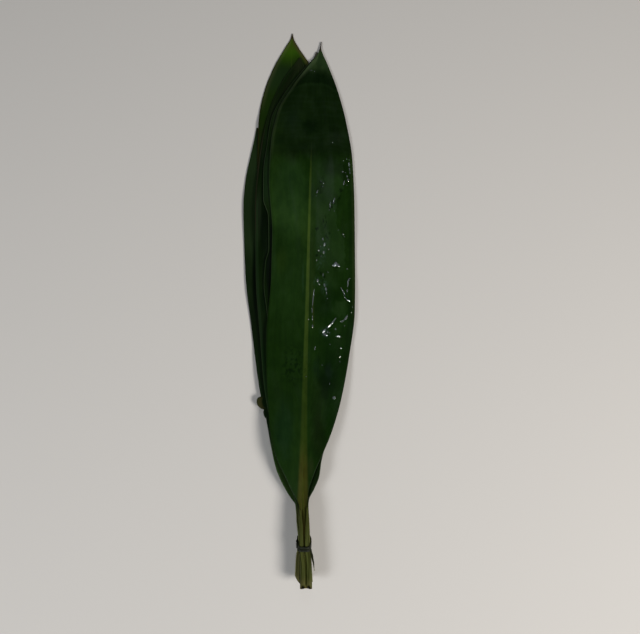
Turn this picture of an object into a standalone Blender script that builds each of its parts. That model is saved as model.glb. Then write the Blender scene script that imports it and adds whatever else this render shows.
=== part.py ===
"""A florist's bunch of five cordyline leaves, tied by a doubled rubber band and laid on its back.

The leaves lie on one another, front leaf on top, tips towards +Y and cut petioles towards -Y.
Sizes and places are in millimetres on the footprint drawing; MM turns them into Blender's metres.
"""

from bisect import bisect_right
from math import cos, cosh, exp, pi, sin, sqrt, tanh

import bmesh
import bpy
from mathutils import Vector
from mathutils.geometry import convex_hull_2d

MM = 0.001
# The drawing's zero, moved so that the origin is under the middle of the bunch.
SHIFT_X = 23.6
SHIFT_Y = -36.0

# Leaf blades and their midribs.
BLADE_THICK = 0.65
RIB_HALF_WIDTH = 4.0
RIB_DROP = ((-150, 1.7), (0, 1.2), (150, 0.8), (330, 0.2))
GROOVE_DEPTH = ((-150, 0.6), (100, 0.5), (330, 0.1))
GROOVE_HALF_WIDTH = 5.0
CLEARANCE = 0.5
POINT_HALF_WIDTH = 0.3
LARGEST_THICK = 3.0
# Columns of the mesh on each side of the midrib, crowded towards it.
COLUMNS = 6
COLUMN_CROWDING = 1.35

# The stack: how far each leaf's upper face is above the one below.
PETIOLE_STEP = 3.85
BLADE_STEP_FROM = (-200, -135)
PETIOLE_LIFT = ((-215, 2.35), (-110, -0.1))
MARGIN_STEP = ((-190, 3.85), (-120, 1.8), (40, 1.45), (340, 1.2))
STEP_SPREAD = 16.0
# Where the waves and the loft of a blade come in, how far before the tip they go out.
OPEN_BLADE = (-130, -60)
WAVE_END = 70.0
WAVE_SHIFT = 1.3
DRAPE_START = ((-170, 8.0), (-120, 2.0))
DRAPE_END = 18.0
# Beside the back leaf the others hang down almost to the table.
TABLE_SAG = 0.4
SAG_FROM = (-140, -60)
# The blades start as a shared trough above the band and open flat further up.
TROUGH_X = -16.0
TROUGH_SLOPE = ((-205, 0.0), (-172, 0.42), (-140, 0.34), (-90, 0.12), (-30, 0.0))
TROUGH_ROUNDING = 4.0
# The halves of the back leaf arch up between its keel and its margins.
ARCH_HEIGHT = ((-110, 0.0), (-20, 2.6), (120, 3.0), (215, 0.0))

# Petiole channels, for each side: flat floor, wall radius, how far the wall turns (radians).
SHALLOW_WALL = (1.3, 7.0, 0.5)
TALL_WALL = (1.3, 3.4, 1.35)
ROLLED_WALL = (2.5, 1.25, 4.0)
# The band squeezes the petioles narrower: share of their width along the drawing.
PETIOLE_SQUEEZE = ((-250, 1.0), (-229, 0.86), (-200, 0.85))
# Petiole thickness at its middle and at its edge.
OPEN_THICK = (2.3, 1.1)
ROLLED_THICK = (1.7, 1.3)

# Each leaf from the table up. Points are (place along, place across) on the drawing.
LEAVES = (
    dict(
        name="leaf_back",
        lobe=True,
        color=(0.020, 0.055, 0.012),
        cut=-257,
        tip=220,
        walls=(TALL_WALL, SHALLOW_WALL),
        thick=OPEN_THICK,
        opening=(-207, -181),
        loft=0.0,
        wave=(1.0, 88, 0.4),
        midrib=((-257, -18.0), (-227, -15.9), (-200, -18.2), (-150, -19), (-60, -27), (20, -36), (80, -44),
                (130, -52), (180, -62), (220, -71)),
        left=((-191, -25.2), (-180, -32.2), (-157, -43.5), (-131, -50.5), (-103, -56.5), (-77, -62.8),
              (-42, -68.4), (-1, -74.6), (35, -79.6), (91, -83.4), (130, -84.2), (155, -82.8), (190, -76.8),
              (208, -73.4), (220, -71.8)),
        right=((-191, -12.5), (-168, -7), (-131, 2), (-97, 8), (-42, 12), (20, 12), (80, 6), (130, -8),
               (165, -24), (190, -41), (208, -57.5), (220, -70.6)),
    ),
    dict(
        name="leaf_fourth",
        lobe=False,
        color=(0.045, 0.110, 0.016),
        cut=-261,
        tip=339,
        walls=(SHALLOW_WALL, TALL_WALL),
        thick=OPEN_THICK,
        opening=(-207, -181),
        loft=0.0,
        wave=(0.9, 104, 2.1),
        midrib=((-261, -13.6), (-227, -14.9), (-200, -16.0), (-150, -16.8), (-94, -18), (0, -20.5), (100, -23),
                (190, -27), (250, -30), (300, -32.8), (339, -32.3)),
        left=((-191, -21.5), (-168, -29), (-141, -40), (-110, -48.5), (-60, -57), (0, -62), (74, -66),
              (131, -68), (180, -69.4), (220, -69.6), (236, -68.8), (264, -64), (294, -53.8), (320, -40.8),
              (333, -34), (339, -32.7)),
        right=((-191, -12.2), (-180, -9.8), (-168, -4.6), (-141, 1.2), (-110, 9), (-60, 17), (0, 21), (74, 21.5), (131, 20),
               (190, 15), (240, 6), (280, -4.5), (301, -13), (320, -24.4), (333, -30.7), (339, -31.9)),
    ),
    dict(
        name="leaf_third",
        lobe=False,
        color=(0.030, 0.040, 0.022),
        cut=-259,
        tip=307,
        walls=(TALL_WALL, SHALLOW_WALL),
        thick=OPEN_THICK,
        opening=(-207, -181),
        loft=0.6,
        wave=(0.9, 96, 1.2),
        midrib=((-259, -18.2), (-227, -15.9), (-200, -18.2), (-150, -17.4), (-94, -18.5), (8, -22), (110, -26),
                (200, -28), (263, -27), (307, -23)),
        left=((-191, -23), (-168, -31), (-141, -43), (-110, -50.5), (-77, -57), (-42, -61), (0, -65),
              (36, -68.1), (74, -69.5), (131, -70.7), (166, -68.9), (190, -66.6), (249, -54.7), (280, -41),
              (298, -29), (307, -23.5)),
        right=((-191, -12.5), (-168, -6), (-141, 0.5), (-110, 8.5), (-60, 15), (0, 18), (74, 18), (131, 16),
               (190, 10), (249, -3), (290, -16), (307, -22.5)),
    ),
    dict(
        name="leaf_second",
        lobe=False,
        color=(0.018, 0.050, 0.012),
        cut=-264,
        tip=316,
        walls=(SHALLOW_WALL, TALL_WALL),
        thick=OPEN_THICK,
        opening=(-207, -181),
        loft=1.0,
        wave=(1.0, 90, 5.2),
        midrib=((-264, -13.2), (-227, -14.9), (-200, -15.9), (-150, -16), (-94, -16.5), (8, -17), (110, -18),
                (200, -16), (263, -12), (316, -4.1)),
        left=((-191, -20.5), (-168, -29), (-141, -40.5), (-110, -48), (-60, -52.5), (0, -55.5), (36, -59.6),
              (60, -58.4), (74, -55.4), (113, -56.5), (131, -61.9), (166, -62.5), (198, -59), (228, -55),
              (262, -39.5), (290, -19.8), (308, -6.8), (316, -4.6)),
        right=((-191, -12), (-185, -11.1), (-176, -6.7), (-163, -1.5), (-150, 0.4), (-137, 3.6), (-120, 9.8), (-88, 18.5), (-42, 27.5),
               (8, 33), (110, 34.5), (178, 31), (225, 23.5), (264, 13.5), (296, 2.5), (308, -1.4), (316, -3.6)),
    ),
    dict(
        name="leaf_front",
        lobe=False,
        color=(0.024, 0.068, 0.014),
        cut=-267,
        tip=328,
        walls=(ROLLED_WALL, ROLLED_WALL),
        thick=ROLLED_THICK,
        opening=(-204, -177),
        loft=2.6,
        wave=(0.8, 120, 0.0),
        midrib=((-267, -13.3), (-248, -13.5), (-229, -15.2), (-203, -15.3), (-180, -16.6), (-94, -15.8),
                (8, -13.6), (110, -11.5), (200, -9.2), (263, -5.7), (309, -1.1), (328, 1.5)),
        left=((-191, -22.3), (-168, -32), (-141, -44.7), (-110, -51.4), (-24, -56.3), (44, -51.9), (91, -51.7),
              (157, -56.3), (198, -54.6), (236, -48.1), (271, -29.6), (300, -9.6), (312, -2.6), (319, -0.4),
              (328, 1.1)),
        right=((-191, -11.6), (-178, -11.4), (-161, -6.4), (-142, 1.8), (-120, 11), (-88, 20.6), (-42, 29.4),
               (8, 36), (130, 36.9), (178, 35), (225, 28), (264, 19.2), (298, 8.7), (312, 3.2),
               (319, 1.4), (328, 1.9)),
    ),
)
# Rows of each leaf along its length: up to each place, how many steps (the last place is the tip).
PETIOLE_ROWS = ((-206, 4), (-128, 11))
TIP_ROWS_START = 36
BLADE_ROW = 21.0
TIP_ROWS = 6

# A dried lobe stands out of the back leaf's left margin.
LOBE_PLACE = -88.0
LOBE_OUT = 5.6
LOBE_REACH = 5.0
LOBE_ROWS = (-97, -92, -88, -84, -79)

# The torn shred of sheath on the second leaf's petiole.
SHRED_ROOT = (-8.9, -236.0, 18.5)
SHRED_END = (-5.4, -252.0, 17.0)
SHRED_WIDTH = 1.3
SHRED_THICK = 0.9
SHRED_POINT = 0.12

# The space under the table's surface: width, length, depth.
TABLE_BLOCK = (400, 900, 20)

# Rubber band.
BAND_RADIUS = 0.8
BAND_CLEARANCE = 0.5
BAND_PLACE = -226.7
BAND_TILT = 5.0
BAND_POINTS = 34
TAUT_DIRECTIONS = 360
BAND_STRAND_STEP = 2.2
BAND_CROSSING = 2.4
BAND_COLOR = (0.012, 0.013, 0.011)


def smooth(points, at):
    """The value at a place on a smooth curve through (place, value) points, level past its ends."""
    places = [point[0] for point in points]
    values = [point[1] for point in points]
    at = min(max(at, places[0]), places[-1])
    index = min(max(bisect_right(places, at) - 1, 0), len(places) - 2)

    def secant(i):
        return (values[i + 1] - values[i]) / (places[i + 1] - places[i])

    def slope(i):
        if i == 0 or i == len(places) - 1:
            return secant(min(i, len(places) - 2))
        before, after = secant(i - 1), secant(i)
        return 0.0 if before * after <= 0 else 2 * before * after / (before + after)

    span = places[index + 1] - places[index]
    t = (at - places[index]) / span
    start, end = values[index], values[index + 1]
    return (
        start * (1 + 2 * t) * (1 - t) ** 2
        + end * (3 - 2 * t) * t * t
        + span * t * (1 - t) * (slope(index) * (1 - t) - slope(index + 1) * t)
    )


def ease(value, start, end):
    """0 up to start, 1 past end, and a smooth step between."""
    t = min(max((value - start) / (end - start), 0.0), 1.0)
    return t * t * (3 - 2 * t)


def half_width(leaf, side, y):
    """The blade's width from midrib to margin; side is -1 for left and 1 for right."""
    margin = leaf["left"] if side < 0 else leaf["right"]
    width = side * (smooth(margin, y) - smooth(leaf["midrib"], y))
    if leaf["lobe"] and side < 0:
        width += LOBE_OUT * exp(-(((y - LOBE_PLACE) / LOBE_REACH) ** 2))
    return max(width, POINT_HALF_WIDTH)


def across(leaf, x, y):
    """Where a place lies across a leaf: distance from the midrib, share of the half width, side."""
    offset = x - smooth(leaf["midrib"], y)
    side = -1 if offset < 0 else 1
    return abs(offset), abs(offset) / half_width(leaf, side, min(y, leaf["tip"])), side


def step(leaf, x, y):
    """How far this leaf's upper face is above the face below it, where the leaf is."""
    distance, share, side = across(leaf, x, y)
    thick = BLADE_THICK + smooth(RIB_DROP, y)
    clear = CLEARANCE + smooth(GROOVE_DEPTH, y)
    first = leaf is LEAVES[0]
    blade = thick + (0.0 if first else clear)
    petiole = OPEN_THICK[0] if first else PETIOLE_STEP
    middle = petiole + (blade - petiole) * ease(y, *BLADE_STEP_FROM)
    edge = min(smooth(MARGIN_STEP, y), petiole)
    amount, length, phase = leaf["wave"]
    open_blade = ease(y, *OPEN_BLADE) * (1 - ease(y, leaf["tip"] - WAVE_END, leaf["tip"]))
    ripple = 0.5 + 0.5 * sin(2 * pi * y / length + phase + WAVE_SHIFT * side)
    edge += amount * open_blade * ripple * min(share, 1.0) ** 2
    bulge = leaf["loft"] * open_blade * sin(pi * min(share, 1.0)) ** 2
    return edge + max(middle - edge, 0.0) * exp(-((distance / STEP_SPREAD) ** 2)) + bulge


def cover(leaf, x, y):
    """1 over the leaf, falling to 0 beside it, so that the leaves above drape over its edge."""
    distance, _, side = across(leaf, x, y)
    beside = max(distance - half_width(leaf, side, min(y, leaf["tip"])), 0.0)
    beyond = max(y - leaf["tip"], 0.0)
    start = smooth(DRAPE_START, y)
    return 1 - ease(sqrt(beside**2 + beyond**2), start, start + DRAPE_END)


def level(index, x, y):
    """Height of the stack's upper face over the first leaves, without the top one's groove."""
    away = x - TROUGH_X
    rise = sqrt(away**2 + TROUGH_ROUNDING**2) - TROUGH_ROUNDING
    height = smooth(PETIOLE_LIFT, y) + smooth(TROUGH_SLOPE, y) * rise
    _, share, _ = across(LEAVES[0], x, y)
    height += smooth(ARCH_HEIGHT, y) * sin(pi * min(share, 1.0)) ** 2
    height -= TABLE_SAG * (1 - cover(LEAVES[0], x, y)) * ease(y, *SAG_FROM)
    for leaf in LEAVES[: index + 1]:
        height += step(leaf, x, y) * cover(leaf, x, y)
    return height


def channel_point(leaf, side, share, y):
    """The petiole's upper face across: distance out and height, from the middle (0) to its edge (1)."""
    squeeze = smooth(PETIOLE_SQUEEZE, y)
    floor, radius, turn = leaf["walls"][side > 0]
    first = 1 / COLUMNS
    if share <= first:
        return squeeze * floor * share / first, 0.0
    angle = turn * (share - first) / (1 - first)
    return squeeze * (floor + radius * sin(angle)), squeeze * radius * (1 - cos(angle))


def leaf_point(index, side, share, y):
    """A point of a leaf's upper face and the leaf's thickness there."""
    leaf = LEAVES[index]
    opened = ease(y, *leaf["opening"])
    middle = smooth(leaf["midrib"], y)
    out, up = channel_point(leaf, side, share, y)
    width = half_width(leaf, side, y)
    out += (width * share**COLUMN_CROWDING - out) * opened
    x = middle + side * out
    groove = smooth(GROOVE_DEPTH, y) * max(1 - out / GROOVE_HALF_WIDTH, 0.0)
    z = level(index, x, y) + up * (1 - opened) - groove * opened
    thick_middle, thick_edge = leaf["thick"]
    petiole = thick_middle + (thick_edge - thick_middle) * share
    narrow = min(width / (2 * RIB_HALF_WIDTH), 1.0)
    blade = BLADE_THICK + narrow * smooth(RIB_DROP, y) * max(1 - out / RIB_HALF_WIDTH, 0.0)
    return x, z, petiole + (blade - petiole) * opened


def leaf_rows(leaf):
    """The places of a leaf's rows, close together where the petiole opens into the blade."""
    rows = []
    start = leaf["cut"]
    for end, steps in PETIOLE_ROWS:
        rows += [start + (end - start) * i / steps for i in range(steps)]
        start = end
    while start < leaf["tip"] - TIP_ROWS_START - BLADE_ROW / 2:
        rows.append(start)
        start += BLADE_ROW
    left = leaf["tip"] - start
    rows += [leaf["tip"] - left * (1 - i / TIP_ROWS) ** 1.5 for i in range(TIP_ROWS + 1)]
    if leaf["lobe"]:
        rows = [y for y in rows if not LOBE_ROWS[0] - 5 < y < LOBE_ROWS[-1] + 5]
        rows = sorted(rows + list(LOBE_ROWS))
    return rows


def new_material(name, color, roughness):
    material = bpy.data.materials.new(name)
    material.use_nodes = True
    shader = material.node_tree.nodes["Principled BSDF"]
    shader.inputs["Base Color"].default_value = (*color, 1.0)
    shader.inputs["Roughness"].default_value = roughness
    shader.inputs["Metallic"].default_value = 0.0
    return material


def add_leaf(index, collection):
    """One leaf, blade and petiole in one piece: a grid bent to its upper face, thickened downwards."""
    leaf = LEAVES[index]
    rows = leaf_rows(leaf)
    mesh = bpy.data.meshes.new(leaf["name"])
    work = bmesh.new()
    bmesh.ops.create_grid(work, x_segments=2 * COLUMNS, y_segments=len(rows) - 1, size=0.5)
    thick_layer = work.verts.layers.deform.verify()
    for vert in work.verts:
        column = round((vert.co.x + 0.5) * 2 * COLUMNS) - COLUMNS
        y = rows[round((vert.co.y + 0.5) * (len(rows) - 1))]
        side = -1 if column < 0 else 1
        x, z, thick = leaf_point(index, side, abs(column) / COLUMNS, y)
        vert.co = Vector((x + SHIFT_X, y + SHIFT_Y, z)) * MM
        vert[thick_layer][0] = thick / LARGEST_THICK
    work.to_mesh(mesh)
    work.free()
    piece = bpy.data.objects.new(leaf["name"], mesh)
    piece.vertex_groups.new(name="thickness")
    collection.objects.link(piece)
    mesh.materials.append(new_material(leaf["name"], leaf["color"], 0.35))
    split = piece.modifiers.new("Split faces alike", "TRIANGULATE")
    split.quad_method = "FIXED"
    thicken = piece.modifiers.new("Thickness", "SOLIDIFY")
    thicken.thickness = LARGEST_THICK * MM
    thicken.offset = -1.0
    thicken.vertex_group = "thickness"
    return piece


def add_helper(name, mesh_maker, collection):
    """A helper solid that is only used by a Boolean."""
    mesh = bpy.data.meshes.new(name)
    work = bmesh.new()
    mesh_maker(work)
    bmesh.ops.recalc_face_normals(work, faces=work.faces)
    work.to_mesh(mesh)
    work.free()
    cutter = bpy.data.objects.new(name, mesh)
    cutter.hide_render = True
    cutter.display_type = "WIRE"
    collection.objects.link(cutter)
    return cutter


def combine(piece, cutter, operation):
    boolean = piece.modifiers.new(cutter.name, "BOOLEAN")
    boolean.operation = operation
    boolean.object = cutter
    boolean.solver = "EXACT"


def table_block(work):
    """The space under the table's surface, which presses the back leaf's keel flat."""
    bmesh.ops.create_cube(work, size=1.0)
    bmesh.ops.scale(work, vec=Vector(TABLE_BLOCK) * MM, verts=work.verts)
    bmesh.ops.translate(work, vec=(0.0, 0.0, -TABLE_BLOCK[2] / 2 * MM), verts=work.verts)


def shred(work):
    """A flat pointed strip from the petiole's edge down and outwards."""
    root = Vector((SHRED_ROOT[0] + SHIFT_X, SHRED_ROOT[1] + SHIFT_Y, SHRED_ROOT[2])) * MM
    end = Vector((SHRED_END[0] + SHIFT_X, SHRED_END[1] + SHIFT_Y, SHRED_END[2])) * MM
    length = (end - root).length
    bmesh.ops.create_cone(
        work, cap_ends=True, segments=6, radius1=SHRED_WIDTH * MM, radius2=SHRED_POINT * MM, depth=length
    )
    bmesh.ops.scale(work, vec=(1.0, SHRED_THICK / SHRED_WIDTH, 1.0), verts=work.verts)
    turn = (end - root).to_track_quat("Z", "Y").to_matrix()
    bmesh.ops.rotate(work, cent=(0, 0, 0), matrix=turn, verts=work.verts)
    bmesh.ops.translate(work, vec=(root + end) / 2, verts=work.verts)


def bundle_outline(leaves):
    """The taut outline round the petioles at the band: x and z points, evenly spaced."""
    points = []
    reach = (BAND_PLACE + SHIFT_Y) * MM
    for leaf in leaves:
        mesh = leaf.evaluated_get(bpy.context.evaluated_depsgraph_get()).data
        for edge in mesh.edges:
            a, b = (mesh.vertices[i].co for i in edge.vertices)
            if (a.y - reach) * (b.y - reach) <= 0 and a.y != b.y:
                spot = a.lerp(b, (reach - a.y) / (b.y - a.y))
                points.append(Vector((spot.x, spot.z)) / MM)
    hull = [points[i] for i in convex_hull_2d(points)]
    offset = BAND_RADIUS + BAND_CLEARANCE
    route = []
    for i in range(TAUT_DIRECTIONS):
        angle = 2 * pi * i / TAUT_DIRECTIONS
        away = Vector((cos(angle), sin(angle)))
        route.append(max(hull, key=lambda point: point.dot(away)) + away * offset)
    lengths = [0.0]
    for a, b in zip(route, route[1:] + route[:1]):
        lengths.append(lengths[-1] + (b - a).length)
    even = []
    for i in range(BAND_POINTS):
        reach = lengths[-1] * i / BAND_POINTS
        j = min(bisect_right(lengths, reach) - 1, TAUT_DIRECTIONS - 1)
        share = (reach - lengths[j]) / max(lengths[j + 1] - lengths[j], 1e-9)
        even.append(route[j].lerp(route[(j + 1) % TAUT_DIRECTIONS], share))
    return even


def add_band(leaves, collection):
    """One rubber band laid twice round the petioles; its strands cross once, at the left side."""
    outline = bundle_outline(leaves)
    middle = sum(outline, Vector((0.0, 0.0))) / len(outline)
    half_height = (max(p.y for p in outline) - min(p.y for p in outline)) / 2
    curve = bpy.data.curves.new("rubber_band", "CURVE")
    curve.dimensions = "3D"
    curve.bevel_depth = BAND_RADIUS * MM
    curve.bevel_resolution = 2
    spline = curve.splines.new("POLY")
    spline.points.add(2 * BAND_POINTS - 1)
    for turn in range(2):
        for i, spot in enumerate(outline):
            from_crossing = BAND_CROSSING * (2 * pi * i / BAND_POINTS - pi)
            along = (1 - 2 * turn) * BAND_STRAND_STEP / 2 * tanh(from_crossing)
            over = (1 - turn) * BAND_STRAND_STEP / cosh(from_crossing)
            spot = spot + (spot - middle).normalized() * over
            y = BAND_PLACE - BAND_TILT * (spot.y - middle.y) / half_height + along
            place = Vector((spot.x, y + SHIFT_Y, spot.y)) * MM
            spline.points[turn * BAND_POINTS + i].co = (*place, 1.0)
    spline.use_cyclic_u = True
    band = bpy.data.objects.new("rubber_band", curve)
    collection.objects.link(band)
    curve.materials.append(new_material("rubber_band", BAND_COLOR, 0.55))


def build():
    for item in list(bpy.data.objects):
        bpy.data.objects.remove(item, do_unlink=True)
    bunch = bpy.data.collections.new("cordyline_bunch")
    helpers = bpy.data.collections.new("helpers")
    bpy.context.scene.collection.children.link(bunch)
    bpy.context.scene.collection.children.link(helpers)
    leaves = [add_leaf(index, bunch) for index in range(len(LEAVES))]
    combine(leaves[0], add_helper("table", table_block, helpers), "DIFFERENCE")
    combine(leaves[3], add_helper("sheath_shred", shred, helpers), "UNION")
    bpy.context.view_layer.update()
    add_band(leaves, bunch)


build()
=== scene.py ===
"""A florist's bunch of five cordyline leaves, tied with a rubber band and laid on its back.

The leaves lie on one another, front leaf on top, tips towards +Y and cut petioles towards -Y.
The shapes are drawn in millimetres on a drawing of the bunch seen from above, x across and y along,
and every mesh is in metres in the frame of the solids.
"""

from math import cos, cosh, pi, radians, sin, tanh

import bmesh
import bpy
import numpy as np
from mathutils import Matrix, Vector


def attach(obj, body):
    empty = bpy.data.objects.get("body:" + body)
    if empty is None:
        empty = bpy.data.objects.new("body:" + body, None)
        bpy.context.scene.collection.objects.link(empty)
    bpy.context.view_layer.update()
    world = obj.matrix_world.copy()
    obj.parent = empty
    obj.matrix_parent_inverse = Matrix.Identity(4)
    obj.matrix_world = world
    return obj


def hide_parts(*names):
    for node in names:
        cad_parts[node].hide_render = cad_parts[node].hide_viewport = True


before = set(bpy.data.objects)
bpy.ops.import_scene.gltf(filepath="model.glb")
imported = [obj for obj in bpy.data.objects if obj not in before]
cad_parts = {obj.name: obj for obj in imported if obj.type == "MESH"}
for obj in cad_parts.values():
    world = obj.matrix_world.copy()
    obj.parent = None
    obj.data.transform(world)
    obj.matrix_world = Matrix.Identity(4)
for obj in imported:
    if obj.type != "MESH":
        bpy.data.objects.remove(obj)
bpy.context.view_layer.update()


# The view. The bunch lies down, so the camera looks down on it from the side of the petioles,
# as steeply as the photograph looks at the standing bunch.
MM = 0.001
# The drawing's zero seen from the middle of the bunch.
SHIFT_X = 23.6
SHIFT_Y = -36.0
VIEW_TILT = radians(12)
VIEW_DISTANCE = 0.7264
VIEW_HEIGHT = 0.008
VIEW_FROM, VIEW_TO = 0.01, 20.0
SENSOR = 36.0
FOCAL_PIXELS = 690
WIDE_PIXELS = 640

camera_data = bpy.data.cameras.new("camera")
camera_data.sensor_width = SENSOR
camera_data.lens = SENSOR * FOCAL_PIXELS / WIDE_PIXELS
camera_data.clip_start, camera_data.clip_end = VIEW_FROM, VIEW_TO
camera = bpy.data.objects.new("camera", camera_data)
looked_at = Vector((SHIFT_X * MM, SHIFT_Y * MM, VIEW_HEIGHT))
camera.location = looked_at + VIEW_DISTANCE * Vector((0, -sin(VIEW_TILT), cos(VIEW_TILT)))
camera.rotation_euler = (VIEW_TILT, 0, 0)
bpy.context.scene.collection.objects.link(camera)
bpy.context.scene.camera = camera
bpy.context.scene.view_settings.view_transform = "Standard"


# The table top: a plain pale sheet under the bunch, a little rough.
TABLE_HALF = 3.0
TABLE_COLOR = (0.6, 0.575, 0.55)
TABLE_ROUGH = 0.75
TABLE_GAP = 0.0002


def set_inputs(node, inputs):
    """Sets a node's inputs, by name or number, or links them where the value is an output."""
    for key, value in inputs.items():
        socket = node.inputs[key]
        if isinstance(value, bpy.types.NodeSocket):
            node.id_data.links.new(value, socket)
        else:
            socket.default_value = (*value, 1) if socket.type == "RGBA" else value


def shader_of(material):
    """The Principled shader of a material."""
    return material.node_tree.nodes["Principled BSDF"]


def add_material(name, values):
    """A material with these values on its shader."""
    material = bpy.data.materials.new(name)
    material.use_nodes = True
    set_inputs(shader_of(material), values)
    return material


def add_object(name, built, *materials):
    """A finished bmesh as a smooth object at the origin, with these materials."""
    mesh = bpy.data.meshes.new(name)
    built.to_mesh(mesh)
    built.free()
    mesh.shade_smooth()
    for material in materials:
        mesh.materials.append(material)
    added = bpy.data.objects.new(name, mesh)
    bpy.context.scene.collection.objects.link(added)
    return added


pale_table = add_material("pale_table", {"Base Color": TABLE_COLOR, "Roughness": TABLE_ROUGH})
sheet = bmesh.new()
bmesh.ops.create_grid(sheet, x_segments=2, y_segments=2, size=TABLE_HALF)
bmesh.ops.translate(sheet, vec=(0, 0, -TABLE_GAP), verts=sheet.verts)
table = add_object("table_top", sheet, pale_table)


# The light: two large soft lamps on the side of the petioles, a small box overhead that shines
# in the leaves, and a dim room.
ROOM_COLOR = (0.8, 0.9, 1.0)
ROOM_STRENGTH = 0.06
# Name, place, size, watts, color.
LAMPS = (
    ("lamp_right", (1.35, -0.95, 1.5), (0.7, 0.7), 41, (1.0, 0.97, 0.92)),
    ("lamp_left", (-1.2, -1.0, 1.5), (0.7, 0.7), 19, (0.95, 0.98, 1.0)),
    ("box_overhead", (0.06, 0.6, 1.25), (0.42, 0.26), 0.6, (0.85, 0.94, 1.0)),
)

room = bpy.data.worlds.new("room")
room.use_nodes = True
set_inputs(room.node_tree.nodes["Background"], {"Color": ROOM_COLOR, "Strength": ROOM_STRENGTH})
bpy.context.scene.world = room
for name, place, size, watts, color in LAMPS:
    lamp_data = bpy.data.lights.new(name, "AREA")
    lamp_data.shape = "RECTANGLE"
    lamp_data.size, lamp_data.size_y = size
    lamp_data.energy = watts
    lamp_data.color = color
    lamp = bpy.data.objects.new(name, lamp_data)
    lamp.location = place
    lamp.rotation_euler = (-Vector(place)).to_track_quat("-Z", "Y").to_euler()
    bpy.context.scene.collection.objects.link(lamp)


# The back leaf, the lowest and shortest one. Fresh leaf tissue, one piece from the cut petiole to
# the tip: a folded petiole opens into a flat blade with a pale midrib. It lies on the table.
BLADE_THICK = 0.45
RIB_HALF_WIDTH = 4.0
RIB_CURVE = 1.5
RIB_DROP = ((-150, 1.7), (0, 1.2), (150, 0.8), (330, 0.2))
GROOVE_DEPTH = ((-150, 0.6), (100, 0.5), (330, 0.1))
GROOVE_HALF_WIDTH = 5.0
CLEARANCE = 0.5
BLADE_STEP = 0.65
POINT_HALF_WIDTH = 0.16
LARGEST_THICK = 4.0

# The stack: how far each leaf's upper face is above the one below.
PETIOLE_STEP = 3.85
BLADE_STEP_FROM = (-200, -135)
PETIOLE_LIFT = ((-215, 2.35), (-110, -0.1))
MARGIN_STEP = ((-190, 3.85), (-120, 1.8), (40, 1.45), (340, 1.2))
STEP_SPREAD = 16.0
OPEN_BLADE = (-130, -60)
WAVE_END = 70.0
WAVE_SHIFT = 1.3
DRAPE_START = ((-170, 8.0), (-120, 2.0))
DRAPE_END = 18.0
TABLE_SAG = 0.4
SAG_FROM = (-140, -60)
TROUGH_X = -16.0
TROUGH_SLOPE = ((-205, 0.0), (-172, 0.42), (-140, 0.34), (-90, 0.12), (-30, 0.0))
TROUGH_ROUNDING = 4.0
ARCH_HEIGHT = ((-110, 0.0), (-20, 2.6), (120, 3.0), (215, 0.0))

# Petiole channels: flat floor, wall radius, how far the wall turns (radians).
SHALLOW_WALL = (1.3, 7.0, 0.5)
TALL_WALL = (1.3, 4.6, 0.85)
ROLLED_WALL = (2.5, 1.25, 4.0)
PETIOLE_SQUEEZE = ((-262, 1.14), (-240, 1.06), (-229, 0.96), (-200, 0.95))
ROLL_CLOSING = ((-250, 1.1), (-236, 1.02), (-222, 0.93), (-205, 0.9))
FLOOR_SHARE = 1 / 6
PITH_HEIGHT = 1.7
PITH_START = 12.0
# The cut ends are rounded and cut askew over this length.
CUT_REACH = 14.0
# Thickness in the petiole's middle and at its edges.
OPEN_THICK = (2.3, 1.1)
ROLLED_THICK = (1.7, 1.3)

# Mesh: columns on each side of the midrib, crowded towards it, and rows along the leaf.
COLUMNS = 24
COLUMN_CROWDING = 1.35
PETIOLE_ROW = 3.5
OPENING_ROW = 1.6
OPENING_FROM, OPENING_TO = -210, -125
BLADE_ROW = 2.6
TIP_LENGTH = 36.0
TIP_ROWS = 34
TIP_CROWDING = 1.5

# How the veins leave the midrib: each bends outwards over this length, and ends short of the margin.
VEIN_REACH = 85.0
VEIN_END = 1.03

# The dried lobe of the back leaf's left margin, and below it a small frayed tail: place, how far it
# stands out, reach.
LOBE = (-90.0, 5.8, 6.6)
LOBE_TAIL = (-101.5, 1.5, 4.2)
LOBE_ROW = 0.55

# A ragged tip is bitten back by two waves across it: height, pace and start of each, and how deep.
BITES = ((0.3, 2.1, 0.0), (0.2, 5.3, 1.0))
BITE_DEPTH = 0.8

# What the leaves with an open petiole have in common.
OPEN_PETIOLE = dict(lobe=False, thick=OPEN_THICK, opening=(-207, -181))
leaf_back = dict(
    OPEN_PETIOLE,
    name="leaf_back",
    # Its petiole's underside is painted lighter, as painted light where the leaves above shade it.
    petiole_back_painted_light=(0.04, 0.04, 0.009),
    lobe=True,
    cut=-257,
    cut_shape=(3.0, 4.0, 0.0),
    tip=220,
    walls=(TALL_WALL, SHALLOW_WALL),
    loft=0.0,
    wave=(1.0, 88, 0.4),
    midrib=((-257, -18.0), (-240, -17.4), (-227, -15.9), (-200, -18.2), (-150, -19), (-60, -27), (20, -36),
            (80, -44), (130, -52), (180, -62), (220, -71)),
    left=((-191, -25.2), (-180, -32.2), (-157, -43.5), (-131, -49.9), (-103, -55.8), (-77, -62.3),
          (-42, -68.0), (-1, -73.9), (35, -79.0), (91, -82.9), (130, -84.2), (155, -82.8), (190, -76.8),
          (208, -73.4), (220, -71.8)),
    right=((-191, -12.5), (-168, -7), (-131, 2), (-97, 8), (-42, 12), (20, 12), (80, 6), (130, -8),
           (165, -24), (190, -41), (208, -57.5), (220, -70.6)),
    rib=((-260, 3.4), (-190, 3.0), (-100, 1.7), (0, 1.1), (120, 0.7), (220, 0.3)),
)

stack = []  # the leaves laid so far, from the table up


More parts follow.
